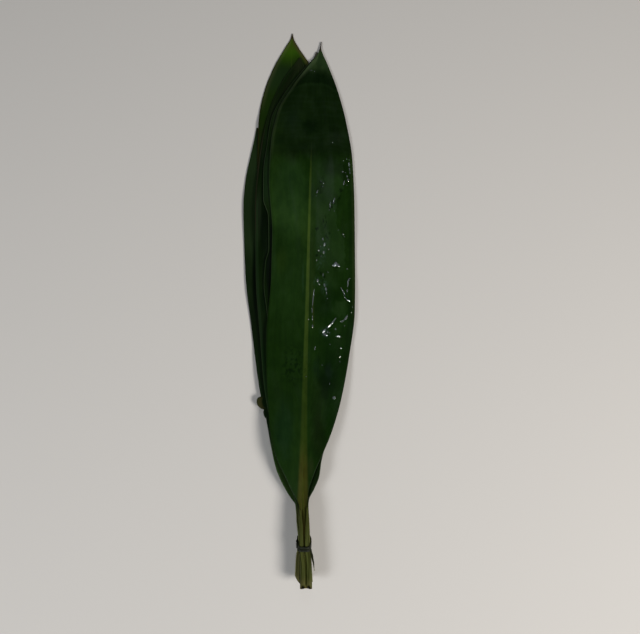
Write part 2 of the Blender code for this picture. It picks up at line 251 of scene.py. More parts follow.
def smooth(points, at):
    """Values at places on a smooth curve through (place, value) points, level past its ends."""
    places, values = np.array(points, float).T
    spans = np.diff(places)
    secants = np.diff(values) / spans
    before, after = secants[:-1], secants[1:]
    total = np.where(before * after > 0, before + after, 1.0)
    inner = np.where(before * after > 0, 2 * before * after / total, 0.0)
    slopes = np.concatenate((secants[:1], inner, secants[-1:]))
    at = np.clip(at, places[0], places[-1])
    i = np.clip(np.searchsorted(places, at, side="right") - 1, 0, len(spans) - 1)
    t = (at - places[i]) / spans[i]
    ends = values[i] * (1 + 2 * t) * (1 - t) ** 2 + values[i + 1] * (3 - 2 * t) * t * t
    return ends + spans[i] * t * (1 - t) * (slopes[i] * (1 - t) - slopes[i + 1] * t)


def ease(value, start, end):
    """0 up to start, 1 past end, and a smooth step between."""
    t = np.clip((value - start) / (end - start), 0.0, 1.0)
    return t * t * (3 - 2 * t)


def half_width(leaf, side, y):
    """The blade's width from midrib to margin; side is -1 for left and 1 for right."""
    margin = np.where(side < 0, smooth(leaf["left"], y), smooth(leaf["right"], y))
    width = side * (margin - smooth(leaf["midrib"], y))
    if leaf["lobe"]:
        for place, out, reach in (LOBE, LOBE_TAIL):
            rounded = np.sqrt(np.maximum(1 - ((y - place) / reach) ** 2, 0.0))
            width = width + (side < 0) * out * rounded
    return np.maximum(width, POINT_HALF_WIDTH)


def across(leaf, x, y):
    """Where places lie across a leaf: distance from the midrib, share of the half width, side."""
    offset = x - smooth(leaf["midrib"], y)
    side = np.where(offset < 0, -1, 1)
    return np.abs(offset), np.abs(offset) / half_width(leaf, side, np.minimum(y, leaf["tip"])), side


def step(leaf, x, y):
    """How far this leaf's upper face is above the face below it, where the leaf is."""
    distance, share, side = across(leaf, x, y)
    thick = BLADE_STEP + smooth(RIB_DROP, y)
    clear = CLEARANCE + smooth(GROOVE_DEPTH, y)
    first = leaf is stack[0]
    blade = thick + (0.0 if first else clear)
    petiole = OPEN_THICK[0] if first else PETIOLE_STEP
    middle = petiole + (blade - petiole) * ease(y, *BLADE_STEP_FROM)
    edge = np.minimum(smooth(MARGIN_STEP, y), petiole)
    amount, length, phase = leaf["wave"]
    open_blade = ease(y, *OPEN_BLADE) * (1 - ease(y, leaf["tip"] - WAVE_END, leaf["tip"]))
    ripple = 0.5 + 0.5 * np.sin(2 * pi * y / length + phase + WAVE_SHIFT * side)
    edge = edge + amount * open_blade * ripple * np.minimum(share, 1.0) ** 2
    bulge = leaf["loft"] * open_blade * np.sin(pi * np.minimum(share, 1.0)) ** 2
    return edge + np.maximum(middle - edge, 0.0) * np.exp(-((distance / STEP_SPREAD) ** 2)) + bulge


def cover(leaf, x, y):
    """1 over the leaf, falling to 0 beside it, so that the leaves above drape over its edge."""
    distance, _, side = across(leaf, x, y)
    beside = np.maximum(distance - half_width(leaf, side, np.minimum(y, leaf["tip"])), 0.0)
    beyond = np.maximum(y - leaf["tip"], 0.0)
    start = smooth(DRAPE_START, y)
    return 1 - ease(np.hypot(beside, beyond), start, start + DRAPE_END)


def level(leaves, x, y):
    """Height of the upper face of these leaves of the stack, without the top one's groove."""
    away = x - TROUGH_X
    rise = np.hypot(away, TROUGH_ROUNDING) - TROUGH_ROUNDING
    height = smooth(PETIOLE_LIFT, y) + smooth(TROUGH_SLOPE, y) * rise
    _, share, _ = across(stack[0], x, y)
    height = height + smooth(ARCH_HEIGHT, y) * np.sin(pi * np.minimum(share, 1.0)) ** 2
    height = height - TABLE_SAG * (1 - cover(stack[0], x, y)) * ease(y, *SAG_FROM)
    for leaf in leaves:
        height = height + step(leaf, x, y) * cover(leaf, x, y)
    return height


def channel(leaf, side, share, y):
    """The petiole's upper face across: distance out and height, from its middle (0) to its edge (1)."""
    left, right = np.array(leaf["walls"], float)
    floor, radius, turn = (np.where(side < 0, left[i], right[i]) for i in range(3))
    if leaf["walls"][0] == ROLLED_WALL:
        turn = turn * smooth(ROLL_CLOSING, y)
    angle = turn * np.clip((share - FLOOR_SHARE) / (1 - FLOOR_SHARE), 0.0, 1.0)
    squeeze = smooth(PETIOLE_SQUEEZE, y)
    out = floor * np.minimum(share / FLOOR_SHARE, 1.0) + radius * np.sin(angle)
    return squeeze * out, squeeze * radius * (1 - np.cos(angle))


def leaf_surface(leaf, side, share, y):
    """Points of a leaf's upper face, its thickness there, and how far it is from the midrib."""
    opened = ease(y, *leaf["opening"])
    out, up = channel(leaf, side, share, y)
    width = half_width(leaf, side, y)
    out = out + (width * share**COLUMN_CROWDING - out) * opened
    x = smooth(leaf["midrib"], y) + side * out
    groove = smooth(GROOVE_DEPTH, y) * np.maximum(1 - out / GROOVE_HALF_WIDTH, 0.0)
    z = level(stack[: stack.index(leaf) + 1], x, y) + up * (1 - opened) - groove * opened
    thick_middle, thick_edge = leaf["thick"]
    # The floor of a rolled petiole is domed.
    rolled = leaf["walls"][0] == ROLLED_WALL
    pith = rolled * PITH_HEIGHT * np.maximum(1 - (share / FLOOR_SHARE) ** 2, 0.0)
    pith = pith * ease(y, leaf["cut"], leaf["cut"] + PITH_START)
    z = z + pith * (1 - opened)
    petiole = thick_middle + (thick_edge - thick_middle) * share + pith
    narrow = np.minimum(width / (2 * RIB_HALF_WIDTH), 1.0)
    ridge = np.maximum(1 - out / RIB_HALF_WIDTH, 0.0) ** RIB_CURVE
    blade = BLADE_THICK + narrow * smooth(RIB_DROP, y) * ridge
    thick = np.minimum(petiole + (blade - petiole) * opened, z)
    return x, z, thick, out


def leaf_rows(leaf):
    """The places of a leaf's rows, close together where the petiole opens and at the tip."""
    petiole = np.arange(leaf["cut"], OPENING_FROM, PETIOLE_ROW)
    opening = np.arange(OPENING_FROM, OPENING_TO, OPENING_ROW)
    blade = np.arange(OPENING_TO, leaf["tip"] - TIP_LENGTH - BLADE_ROW / 2, BLADE_ROW)
    if leaf["lobe"]:
        near = np.arange(LOBE_TAIL[0] - LOBE_TAIL[2], LOBE[0] + LOBE[2] + LOBE_ROW, LOBE_ROW)
        below, above = blade[blade < near[0] - LOBE_ROW], blade[blade > near[-1] + LOBE_ROW]
        blade = np.concatenate((below, near, above))
    tip = leaf["tip"] - TIP_LENGTH * (1 - np.arange(TIP_ROWS + 1) / TIP_ROWS) ** TIP_CROWDING
    return np.concatenate((petiole, opening, blade, tip))


def add_leaf(leaf, upper):
    """One leaf: a grid bent to its upper face and thickened downwards, with its own surface places."""
    # Some leaves carry a lighter underside petiole: painted light where the stack shades it.
    under_colors = {**UNDER_COLORS, "Petiole": leaf.get("petiole_back_painted_light", UNDER_COLORS["Petiole"])}
    under = leaf_material(leaf["name"] + "_underside", leaf, under_colors, UNDER_VALUES, DULL_COAT)
    stack.append(leaf)
    rows = leaf_rows(leaf)
    grid = bmesh.new()
    bmesh.ops.create_grid(grid, x_segments=2 * COLUMNS, y_segments=len(rows) - 1, size=0.5)
    place = np.array([vert.co for vert in grid.verts])
    column = np.rint((place[:, 0] + 0.5) * 2 * COLUMNS) - COLUMNS
    y = rows[np.rint((place[:, 1] + 0.5) * (len(rows) - 1)).astype(int)]
    side = np.where(column < 0, -1, 1)
    share = np.abs(column) / COLUMNS
    if "ragged" in leaf:
        torn = leaf["tip"] - leaf["ragged"]
        bitten = 0.5 + sum(high * np.sin(pace * column + start) for high, pace, start in BITES)
        y = np.where(y > torn, torn + (y - torn) * (1 - BITE_DEPTH * bitten), y)
    x, z, thick, out = leaf_surface(leaf, side, share, y)
    # The cut end: longer in the middle, rounded at its sides, and cut askew from below.
    longer, rounding, askew = leaf["cut_shape"]
    reach, up = channel(leaf, side, share, y)
    end_shift = rounding * (reach / reach.max()) ** 2 + askew * up - longer
    placed_y = y + end_shift * (1 - ease(y, leaf["cut"], leaf["cut"] + CUT_REACH))
    spread = share**COLUMN_CROWDING
    thickness = grid.verts.layers.deform.verify()
    # For the colors: share across with its side, distance from the margin and from the midrib.
    blade_layer = grid.verts.layers.float_vector.new("blade")
    # Distance along, place on its vein, and distance from the midrib in midrib half widths.
    run_layer = grid.verts.layers.float_vector.new("run")
    margin = (1 - spread) * half_width(leaf, side, y)
    vein = y + VEIN_REACH * np.log(VEIN_END - spread)
    rib = out / smooth(leaf["rib"], y)
    for i, vert in enumerate(grid.verts):
        vert.co = Vector((x[i] + SHIFT_X, placed_y[i] + SHIFT_Y, z[i])) * MM
        vert[thickness][0] = thick[i] / LARGEST_THICK
        vert[blade_layer] = (side[i] * spread[i], margin[i], out[i])
        vert[run_layer] = (y[i], vein[i], rib[i])
    piece = add_object(leaf["name"] + "_grown", grid, upper, under)
    piece.vertex_groups.new(name="thickness")
    thicken = piece.modifiers.new("Thickness", "SOLIDIFY")
    thicken.thickness = LARGEST_THICK * MM
    thicken.offset = -1.0
    thicken.vertex_group = "thickness"
    thicken.material_offset = 1
    thicken.use_rim = True
    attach(piece, "root")
    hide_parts(leaf["name"])
    return piece


def add_node(tree, kind, inputs, **settings):
    """A shader node with its settings and inputs."""
    node = tree.nodes.new(kind)
    for name, value in settings.items():
        setattr(node, name, value)
    set_inputs(node, inputs)
    return node


def maths(tree, operation, first, second=0.0, third=0.0, clamp=False):
    """The outcome of one operation on numbers."""
    inputs = {0: first, 1: second, 2: third}
    return add_node(tree, "ShaderNodeMath", inputs, operation=operation, use_clamp=clamp).outputs[0]


def product(tree, first, *others):
    """First times all the others."""
    for value in others:
        first = maths(tree, "MULTIPLY", first, value)
    return first


def fade(tree, value, start, end):
    """A mask: 0 where value is at start, 1 where it is at end, smooth between."""
    inputs = {"Value": value, "From Min": min(start, end), "From Max": max(start, end),
              "To Min": float(start > end), "To Max": float(start < end)}
    node = add_node(tree, "ShaderNodeMapRange", inputs, label="fade", interpolation_type="SMOOTHSTEP")
    return node.outputs["Result"]


def blend_color(tree, mask, first, second, way="MIX"):
    """The first color with the second laid over it where the mask is."""
    inputs = {0: mask, 6: first, 7: second}
    return add_node(tree, "ShaderNodeMix", inputs, data_type="RGBA", blend_type=way).outputs[2]


def grain(tree, x, y, z, detail=2.0, roughness=0.5):
    """Noise over three places that follow the surface; x and y may be products, given as tuples."""
    x, y = (product(tree, *place) if isinstance(place, tuple) else place for place in (x, y))
    vector = add_node(tree, "ShaderNodeCombineXYZ", {"X": x, "Y": y, "Z": z}, label="places")
    inputs = {"Vector": vector.outputs[0], "Scale": 1.0, "Detail": detail, "Roughness": roughness}
    return add_node(tree, "ShaderNodeTexNoise", inputs, label="grain").outputs["Fac"]


def carried(tree, name):
    """The three values that a piece carries under this name."""
    attribute = add_node(tree, "ShaderNodeAttribute", {}, attribute_name=name)
    vector = attribute.outputs["Vector"]
    return list(add_node(tree, "ShaderNodeSeparateXYZ", {"Vector": vector}, label=name).outputs)


# Leaf tissue. Inputs and outputs of the group that all the leaves share, with their first values.
TISSUE_COLORS = {
    "Deep": (0.0046, 0.0175, 0.0012),
    "Fresh": (0.0085, 0.029, 0.0023),
    "Rib": (0.02, 0.037, 0.003),
    "Margin": (0.008, 0.019, 0.004),
    "Dried": (0.03, 0.02, 0.008),
    "Petiole": (0.015, 0.02, 0.002),
    "Petiole Pale": (0.04, 0.046, 0.008),
    "Cut End": (0.075, 0.068, 0.02),
}
TISSUE_VALUES = {
    "Tip Place": 300.0,
    "Dried Length": 7.0,
    "Cut Place": -260.0,
    "Seed": 0.0,
    "Rib Strength": 0.9,
    "Petiole Place": -183.0,
}

tissue = bpy.data.node_groups.new("leaf_tissue", "ShaderNodeTree")
add_socket = tissue.interface.new_socket
for label, color in TISSUE_COLORS.items():
    add_socket(label, in_out="INPUT", socket_type="NodeSocketColor").default_value = (*color, 1)
for label, value in TISSUE_VALUES.items():
    add_socket(label, in_out="INPUT", socket_type="NodeSocketFloat").default_value = value
add_socket("Color", in_out="OUTPUT", socket_type="NodeSocketColor")
add_socket("Roughness", in_out="OUTPUT", socket_type="NodeSocketFloat")
add_socket("Height", in_out="OUTPUT", socket_type="NodeSocketFloat")
given = tissue.nodes.new("NodeGroupInput").outputs
share, margin, _ = carried(tissue, "blade")
along, vein, rib = carried(tissue, "run")
seed = given["Seed"]

# Lengthwise streaks, side veins that leave the midrib, and soft mottling.
streak = grain(tissue, (share, 16.0), (along, 0.012), seed)
veins = grain(tissue, (vein, 0.62), (share, 2.0), seed, 1.0)
mottle = grain(tissue, (share, 2.2), (along, 0.03), seed, 4.0)
fresh = maths(tissue, "MULTIPLY_ADD", streak, 0.9, -0.95)
fresh = maths(tissue, "MULTIPLY_ADD", veins, 0.7, fresh)
fresh = maths(tissue, "MULTIPLY_ADD", mottle, 1.3, fresh, clamp=True)
color = blend_color(tissue, fresh, given["Deep"], given["Fresh"])

# The midrib, pale with a soft edge, and the thin brown margin inside a paler rim.
rib_edge = maths(tissue, "MULTIPLY_ADD", streak, 0.3, rib)
rib_mask = product(tissue, fade(tissue, rib_edge, 1.45, 0.75), given["Rib Strength"])
color = blend_color(tissue, rib_mask, color, given["Rib"])
rim_mask = product(tissue, fade(tissue, margin, 1.8, 0.8), 0.5)
color = blend_color(tissue, rim_mask, color, given["Fresh"])
color = blend_color(tissue, fade(tissue, margin, 0.7, 0.25), color, given["Margin"])

# The petiole: olive with pale lengthwise streaks and brown stains, and the cut end.
fibres = grain(tissue, (share, 13.0), (along, 0.02), seed, 3.0)
stains = grain(tissue, (share, 3.0), (along, 0.09), seed, 3.0)
petiole = blend_color(tissue, fade(tissue, fibres, 0.42, 0.68), given["Petiole"], given["Petiole Pale"])
stain_mask = product(tissue, fade(tissue, stains, 0.55, 0.72), 0.5)
petiole = blend_color(tissue, stain_mask, petiole, given["Dried"])
from_petiole = maths(tissue, "MULTIPLY_ADD", fibres, 14.0, along)
from_petiole = maths(tissue, "SUBTRACT", from_petiole, given["Petiole Place"])
petiole_mask = fade(tissue, from_petiole, 0.0, -22.0)
color = blend_color(tissue, petiole_mask, color, petiole)
from_cut = maths(tissue, "SUBTRACT", along, given["Cut Place"])
drying = fade(tissue, maths(tissue, "MULTIPLY_ADD", fibres, -6.0, from_cut), 7.0, 1.0)
color = blend_color(tissue, product(tissue, drying, 0.6), color, given["Cut End"])
cut_edge = product(tissue, fade(tissue, from_cut, 0.9, 0.3), 0.5)
color = blend_color(tissue, cut_edge, color, given["Dried"])

# The dried tip.
to_tip = maths(tissue, "SUBTRACT", given["Tip Place"], along)
to_tip = maths(tissue, "MULTIPLY_ADD", streak, 4.0, to_tip)
dried_mask = fade(tissue, maths(tissue, "DIVIDE", to_tip, given["Dried Length"]), 1.35, 0.8)
color = blend_color(tissue, dried_mask, color, given["Dried"])

roughness = maths(tissue, "MULTIPLY_ADD", mottle, 0.12, 0.36)
roughness = maths(tissue, "MULTIPLY_ADD", petiole_mask, 0.15, roughness)
roughness = maths(tissue, "MULTIPLY_ADD", dried_mask, 0.3, roughness)
height = maths(tissue, "MULTIPLY_ADD", fibres, petiole_mask, product(tissue, veins, 0.5))
add_node(tissue, "NodeGroupOutput", {"Color": color, "Roughness": roughness, "Height": height})

# The waxy skin over the tissue: its sheen, and the strength and depth of the veins' relief.
SKIN = {"Specular IOR Level": 0.05, "Coat Roughness": 0.2, "Coat IOR": 1.35}
VEIN_RELIEF = (0.35, 0.0003)
THIN_COAT, DULL_COAT, GLOSSY_COAT = 0.03, 0.05, 0.08


def add_relief(material, height, strength, depth):
    """Bumps on a material's surface; depth in metres."""
    bump = add_node(material.node_tree, "ShaderNodeBump",
                    {"Height": height, "Strength": strength, "Distance": depth}, label="relief")
    set_inputs(shader_of(material), {"Normal": bump.outputs[0]})


def leaf_material(name, leaf, colors, values, coat):
    """One face of a leaf: its tissue under a waxy skin."""
    material = add_material(name, {**SKIN, "Coat Weight": coat})
    inputs = {**colors, "Tip Place": leaf["tip"], "Cut Place": leaf["cut"], **values}
    grown = add_node(material.node_tree, "ShaderNodeGroup", inputs, node_tree=tissue).outputs
    set_inputs(shader_of(material), {"Base Color": grown["Color"], "Roughness": grown["Roughness"]})
    add_relief(material, grown["Height"], *VEIN_RELIEF)
    return material


def leaf_places(tree):
    """What a leaf's colors are placed by, by name: its own places, and those on the drawing."""
    places = dict(zip(("share", "margin", "out"), carried(tree, "blade")))
    places.update(zip(("along", "vein", "rib"), carried(tree, "run")))
    own = tree.nodes.new("ShaderNodeTexCoord").outputs["Object"]
    inputs = {0: own, 1: (1 / MM, 1 / MM, 0), 2: (-SHIFT_X, -SHIFT_Y, 0)}
    drawn = add_node(tree, "ShaderNodeVectorMath", inputs, label="on the drawing", operation="MULTIPLY_ADD")
    split = add_node(tree, "ShaderNodeSeparateXYZ", {"Vector": drawn.outputs[0]}, label="on the drawing")
    places.update({"drawn": drawn.outputs[0], "drawn x": split.outputs[0], "drawn y": split.outputs[1]})
    places["ragged"] = 0.0
    return places


def spot(tree, places, place, reach, turn, softness, wobble):
    """A mask: 1 in a turned oval place on the drawing, with a soft and ragged edge."""
    inputs = {"Vector": places["drawn"], "Location": (*place, 0), "Rotation": (0, 0, radians(turn)),
              "Scale": (*reach, 1)}
    oval = add_node(tree, "ShaderNodeMapping", inputs, label="spot", vector_type="TEXTURE")
    length = add_node(tree, "ShaderNodeVectorMath", {0: oval.outputs[0]}, operation="LENGTH")
    distance = maths(tree, "MULTIPLY_ADD", places["ragged"], 2 * wobble, length.outputs["Value"])
    return fade(tree, distance, 1 + wobble + softness / 2, 1 + wobble - softness)


def mask_of(tree, places, *parts):
    """The product of masks: shares, named masks, fades over a named place, ovals on the drawing."""
    masks = []
    for part in parts:
        if isinstance(part, float):
            masks.append(part)
        elif isinstance(part, str):
            masks.append(places[part])
        elif isinstance(part[0], str):
            masks.append(fade(tree, places[part[0]], *part[1:]))
        else:
            masks.append(spot(tree, places, *part))
    return product(tree, *masks)


def tissue_of(material):
    """The group that a leaf's material takes its color from."""
    return next(node for node in material.node_tree.nodes if node.type == "GROUP")


def paint(material, places, touches):
    """Lays touches over a leaf's tissue: how, which color, and what it is kept to."""
    tree = material.node_tree
    color = tissue_of(material).outputs["Color"]
    for way, tint, *kept_to in touches:
        color = blend_color(tree, mask_of(tree, places, *kept_to), color, tint, way)
    set_inputs(shader_of(material), {"Base Color": color})


def lay_leaf(leaf, name, colors, values, coat, touches, slant=None, lines=None):
    """Paints a leaf's skin and lays the leaf on the stack; slant and lines are places of its own."""
    skin = leaf_material(name, leaf, colors, values, coat)
    tree = skin.node_tree
    places = leaf_places(tree)
    margin, along = places["margin"], places["along"]
    if slant:
        places["slant"] = maths(tree, "MULTIPLY_ADD", places[slant[0]], slant[1], along)
    if lines:
        pace_across, pace_along, seed = lines
        places["lines"] = grain(tree, (margin, pace_across), (along, pace_along), seed, 3.0)
    paint(skin, places, touches)
    add_leaf(leaf, skin)


# The underside of every leaf is paler and duller, with the same veins.
UNDER_COLORS = {"Deep": (0.014, 0.034, 0.008), "Fresh": (0.022, 0.05, 0.012), "Rib": (0.034, 0.055, 0.012),
                "Petiole": (0.022, 0.027, 0.003), "Petiole Pale": (0.08, 0.092, 0.02)}
UNDER_VALUES = {"Seed": 9.0, "Petiole Place": -165.0}
# The inner face of an open petiole is pale, and painted lighter still to stand in for the light that the
# leaves around it keep off.
PALE_AND_LIT_INNER_PETIOLE = {"Petiole": (0.09, 0.096, 0.022), "Petiole Pale": (0.19, 0.19, 0.07),
                 "Cut End": (0.12, 0.106, 0.038)}
BACK_COLORS = {"Deep": (0.0026, 0.0076, 0.0014), "Fresh": (0.0082, 0.018, 0.0046),
               "Dried": (0.014, 0.012, 0.003), "Margin": (0.01, 0.016, 0.006), **PALE_AND_LIT_INNER_PETIOLE}
# Touches over the tissue: how each is laid, its color, and what it is kept to. That is a fade over
# one of the leaf's places, from where it is 0 to where it is 1, or an oval on the drawing: place,
# reach across and along, turn in degrees, softness and raggedness of its edge.
BACK_TOUCHES = (
    # Its upper part is grayer.
    ("ADD", (0.005, 0.0095, 0.0034), ("slant", 62.0, 92.0)),
    ("MULTIPLY", (0.58, 0.62, 0.62), ("along", 40.0, -10.0)),
    ("ADD", (0.0014, 0.0036, 0.001), ("along", -15.0, -40.0)),
    ("ADD", (0.0004, 0.003, 0.0), ("along", -58.0, -80.0)),
    # Painted shade in the gap beside the third leaf's left margin.
    ("MULTIPLY", (0.3, 0.42, 0.34), ((-69.5, 45.0), (3.2, 42.0), 2, 0.5, 0.0)),
    # Its lobe is dried, and so is the tail below.
    ("MIX", (0.024, 0.025, 0.0068), ("along", LOBE[0] - 6.8, LOBE[0] - 5.2),
     ("along", LOBE[0] + 6.8, LOBE[0] + 5.2), ("share", -0.84, -0.9)),
    ("MIX", (0.014, 0.016, 0.007), ((-61.0, LOBE_TAIL[0]), (4.0, 4.5), 0, 0.5, 0.0), ("margin", 2.0, 1.0)),
    # Painted light on the low blade, which lies deep in the shade of the stack.
    ("ADD", (0.025, 0.048, 0.011), ("along", -110.0, -150.0)),
)

lay_leaf(leaf_back, "back_leaf_skin", BACK_COLORS, {"Seed": 1.7, "Dried Length": 6.0}, THIN_COAT,
         BACK_TOUCHES, slant=("margin", 1.5))


# The fourth leaf, the longest one: only its left strip and its bright yellow-green tip show.
leaf_fourth = dict(
    OPEN_PETIOLE,
    name="leaf_fourth",
    cut=-261,
    cut_shape=(2.0, 3.0, 0.0),
    tip=339,
    walls=(SHALLOW_WALL, TALL_WALL),
    loft=0.0,
    wave=(0.9, 104, 2.1),
    midrib=((-261, -13.6), (-227, -14.9), (-200, -16.0), (-150, -16.8), (-94, -18), (0, -20.5), (100, -23),
            (190, -27), (250, -30), (300, -32.8), (339, -32.3)),
    left=((-191, -21.5), (-168, -29), (-141, -40), (-110, -48.5), (-60, -57), (0, -62), (74, -66),
          (131, -68), (180, -69.4), (220, -69.6), (236, -68.8), (264, -64), (294, -53.8), (320, -40.8),
          (333, -34), (339, -32.7)),
    right=((-191, -12.2), (-180, -9.8), (-168, -4.6), (-141, 1.2), (-110, 9), (-60, 17), (0, 21), (74, 21.5),
           (131, 20), (190, 15), (240, 6), (280, -4.5), (301, -13), (320, -24.4), (333, -30.7), (339, -31.9)),
    rib=((-264, 3.4), (-190, 3.2), (-100, 2.4), (0, 1.6), (150, 1.0), (250, 0.6), (339, 0.3)),
)
FOURTH_COLORS = {"Deep": (0.0056, 0.016, 0.0011), "Fresh": (0.0092, 0.0245, 0.002),
                 "Dried": (0.022, 0.015, 0.006), "Margin": (0.013, 0.014, 0.005), **PALE_AND_LIT_INNER_PETIOLE}
FOURTH_TOUCHES = (
    # The bright tip with its dried point.
    ("MIX", (0.03, 0.082, 0.003), ("slant", 287.0, 324.0)),
    ("MIX", FOURTH_COLORS["Dried"], ("along", leaf_fourth["tip"] - 9.0, leaf_fourth["tip"] - 5.0)),
    # The brownish left rim.
    ("ADD", (0.0176, 0.0156, 0.0084), ("margin", 6.5, 1.5), ("share", -0.2, -0.4), ("along", 235.0, 260.0)),
    ("ADD", (0.0006, 0.0, 0.0028), ("along", 258.0, 276.0), ("along", 308.0, 288.0)),
    ("MULTIPLY", (0.92, 0.74, 0.6), ("along", 235.0, 205.0)),
    ("MULTIPLY", (0.76, 0.7, 0.92), ((-27.0, 297.0), (11.0, 17.0), 0, 0.7, 0.0)),
    ("MULTIPLY", (1.08, 0.78, 1.3), ("along", 312.0, 324.0)),
    # The pale right rim of the tip, and the brown margin.
    ("MIX", (0.042, 0.046, 0.01), ("margin", 6.5, 1.5), ("share", 0.1, 0.4), ("along", 270.0, 300.0)),
    ("MIX", (0.026, 0.019, 0.005), ("margin", 1.0, 0.35)),
)

lay_leaf(leaf_fourth, "fourth_leaf_skin", FOURTH_COLORS, {"Seed": 4.1, "Dried Length": 5.0}, DULL_COAT,
         FOURTH_TOUCHES, slant=("out", -0.5))


# The third leaf: a dull dark strip along the left side, its tip hidden behind the front leaf.
leaf_third = dict(
    OPEN_PETIOLE,
    name="leaf_third",
    # Its petiole's underside is painted lighter, as painted light where the leaves above shade it.
    petiole_back_painted_light=(0.04, 0.04, 0.009),
    cut=-259,
    cut_shape=(6.0, 8.0, 0.0),
    tip=307,
    walls=(TALL_WALL, SHALLOW_WALL),
    loft=0.6,
    wave=(0.9, 96, 1.2),
    midrib=((-259, -18.2), (-240, -17.6), (-227, -15.9), (-200, -18.2), (-150, -17.4), (-94, -18.5), (8, -22),
            (110, -26), (200, -28), (263, -27), (307, -23)),
    left=((-191, -23), (-168, -31), (-141, -43), (-110, -50.5), (-77, -57), (-42, -61), (0, -65),
          (36, -68.1), (74, -69.5), (131, -70.7), (166, -68.9), (190, -66.6), (249, -54.7), (280, -41),
          (298, -29), (307, -23.5)),
    right=((-191, -12.5), (-168, -6), (-141, 0.5), (-110, 8.5), (-60, 15), (0, 18), (74, 18), (131, 16),
           (190, 10), (249, -3), (290, -16), (307, -22.5)),
    rib=((-262, 3.4), (-190, 3.2), (-100, 2.4), (0, 1.6), (150, 1.0), (307, 0.3)),
)
THIRD_COLORS = {"Deep": (0.0014, 0.005, 0.0006), "Fresh": (0.0046, 0.0135, 0.002),
                "Margin": (0.017, 0.026, 0.01), "Dried": (0.006, 0.006, 0.002), **PALE_AND_LIT_INNER_PETIOLE}
THIRD_TOUCHES = (
    # Its tip is olive brown, and its left rim has a painted highlight.
    ("MIX", (0.0096, 0.0148, 0.0048), ("along", 286.0, 302.0)),
    ("ADD", (0.0052, 0.0118, 0.0046), ("margin", 4.0, 1.5), ("along", 142.0, 122.0)),
    ("ADD", (0.004, 0.0036, 0.0022), ("lines", 0.42, 0.6), ("along", 205.0, 240.0)),
    # A brown line along the margin.
    ("MIX", (0.018, 0.018, 0.009), ("margin", 1.4, 0.8), ("along", 85.0, 105.0), ("along", 225.0, 195.0)),
    # More painted highlight on its left rim, and painted shade where the second leaf ends beside it.
    ("ADD", (0.0038, 0.0052, 0.0028), ((-67.0, 114.0), (3.5, 36.0), 0, 0.5, 0.0)),
    ("MULTIPLY", (0.5, 0.66, 0.64), ((-59.5, 16.0), (3.0, 14.0), 0, 0.5, 0.0)),
    ("MULTIPLY", (0.34, 0.48, 0.36), ((-60.2, 97.0), (4.8, 30.0), 0, 0.5, 0.0)),
    # Painted light lower on the blade, in the shade under the front leaf.
    ("ADD", (0.0003, 0.004, 0.0002), ("along", -20.0, -42.0), ("along", -125.0, -95.0)),
    # Painted light on its petiole, which lies in the shade of the front one, and a line of painted shadow
    # beside the front petiole.
    ("ADD", (0.06, 0.046, 0.022), ("along", -228.0, -234.0)),
    ("MULTIPLY", (0.16, 0.18, 0.14), ((-19.3, -250.0), (1.2, 26.0), 0, 0.4, 0.0), 0.9),
)

THIRD_VALUES = {"Seed": 6.3, "Rib Strength": 0.15, "Petiole Place": -178.0}

lay_leaf(leaf_third, "third_leaf_skin", THIRD_COLORS, THIRD_VALUES, THIN_COAT, THIRD_TOUCHES,
         lines=(0.8, 0.012, 6.0))


# The second leaf, just behind the front one: its left margin has one wave and a paler rim, its tip
# is ragged, and a torn shred of its sheath points down beside the petiole.
leaf_second = dict(
    OPEN_PETIOLE,
    name="leaf_second",
    ragged=9.0,
    cut=-264,
    cut_shape=(1.5, 3.5, 0.0),
    tip=316,
    walls=(SHALLOW_WALL, TALL_WALL),
    loft=1.0,
    wave=(1.0, 90, 5.2),
    midrib=((-264, -13.2), (-227, -14.9), (-200, -15.9), (-150, -16), (-94, -16.5), (8, -17), (110, -18),
            (200, -16), (263, -12), (316, -4.1)),
    left=((-191, -20.5), (-168, -29), (-141, -40.5), (-110, -48), (-60, -52.5), (0, -55.5), (36, -59.6),
          (60, -58.4), (74, -55.4), (113, -56.5), (131, -61.9), (166, -62.5), (198, -59), (228, -55),
          (262, -39.5), (290, -19.8), (308, -6.8), (316, -4.6)),
    right=((-191, -11.7), (-185, -10.7), (-176, -6.0), (-163, -0.7), (-150, 1.2), (-137, 4.4), (-120, 10.6),
           (-88, 18.5), (-42, 27.5), (8, 33), (110, 34.5), (178, 31), (225, 23.5), (264, 13.5), (296, 2.5),
           (308, -1.4), (316, -3.6)),
    rib=((-267, 3.4), (-190, 3.2), (-100, 2.4), (0, 1.6), (150, 1.0), (316, 0.3)),
)
SECOND_COLORS = {"Deep": (0.0018, 0.007, 0.0006), "Fresh": (0.006, 0.016, 0.0025),
                 "Margin": (0.028, 0.044, 0.02), **PALE_AND_LIT_INNER_PETIOLE}
SECOND_TOUCHES = (
    # Its wave is lighter, and below it painted shade makes the strip beside the front leaf nearly black.
    ("ADD", (0.0036, 0.0075, 0.0036), ((-60.0, 160.0), (8.0, 34.0), 0, 0.5, 0.0)),
    ("MULTIPLY", (0.12, 0.22, 0.14), ((-53.0, 64.0), (6.0, 50.0), 0, 0.4, 0.0), ("margin", 0.8, 1.6)),
    ("ADD", (0.006, 0.0085, 0.0042), ("lines", 0.45, 0.62), ("along", 190.0, 225.0)),
    # Its tip is frayed.
    ("MIX", (0.1, 0.095, 0.075), ("along", leaf_second["tip"] - 9.5, leaf_second["tip"] - 6.0)),
)

lay_leaf(leaf_second, "second_leaf_skin", SECOND_COLORS, {"Seed": 2.9}, DULL_COAT, SECOND_TOUCHES,
         lines=(0.9, 0.01, 4.0))


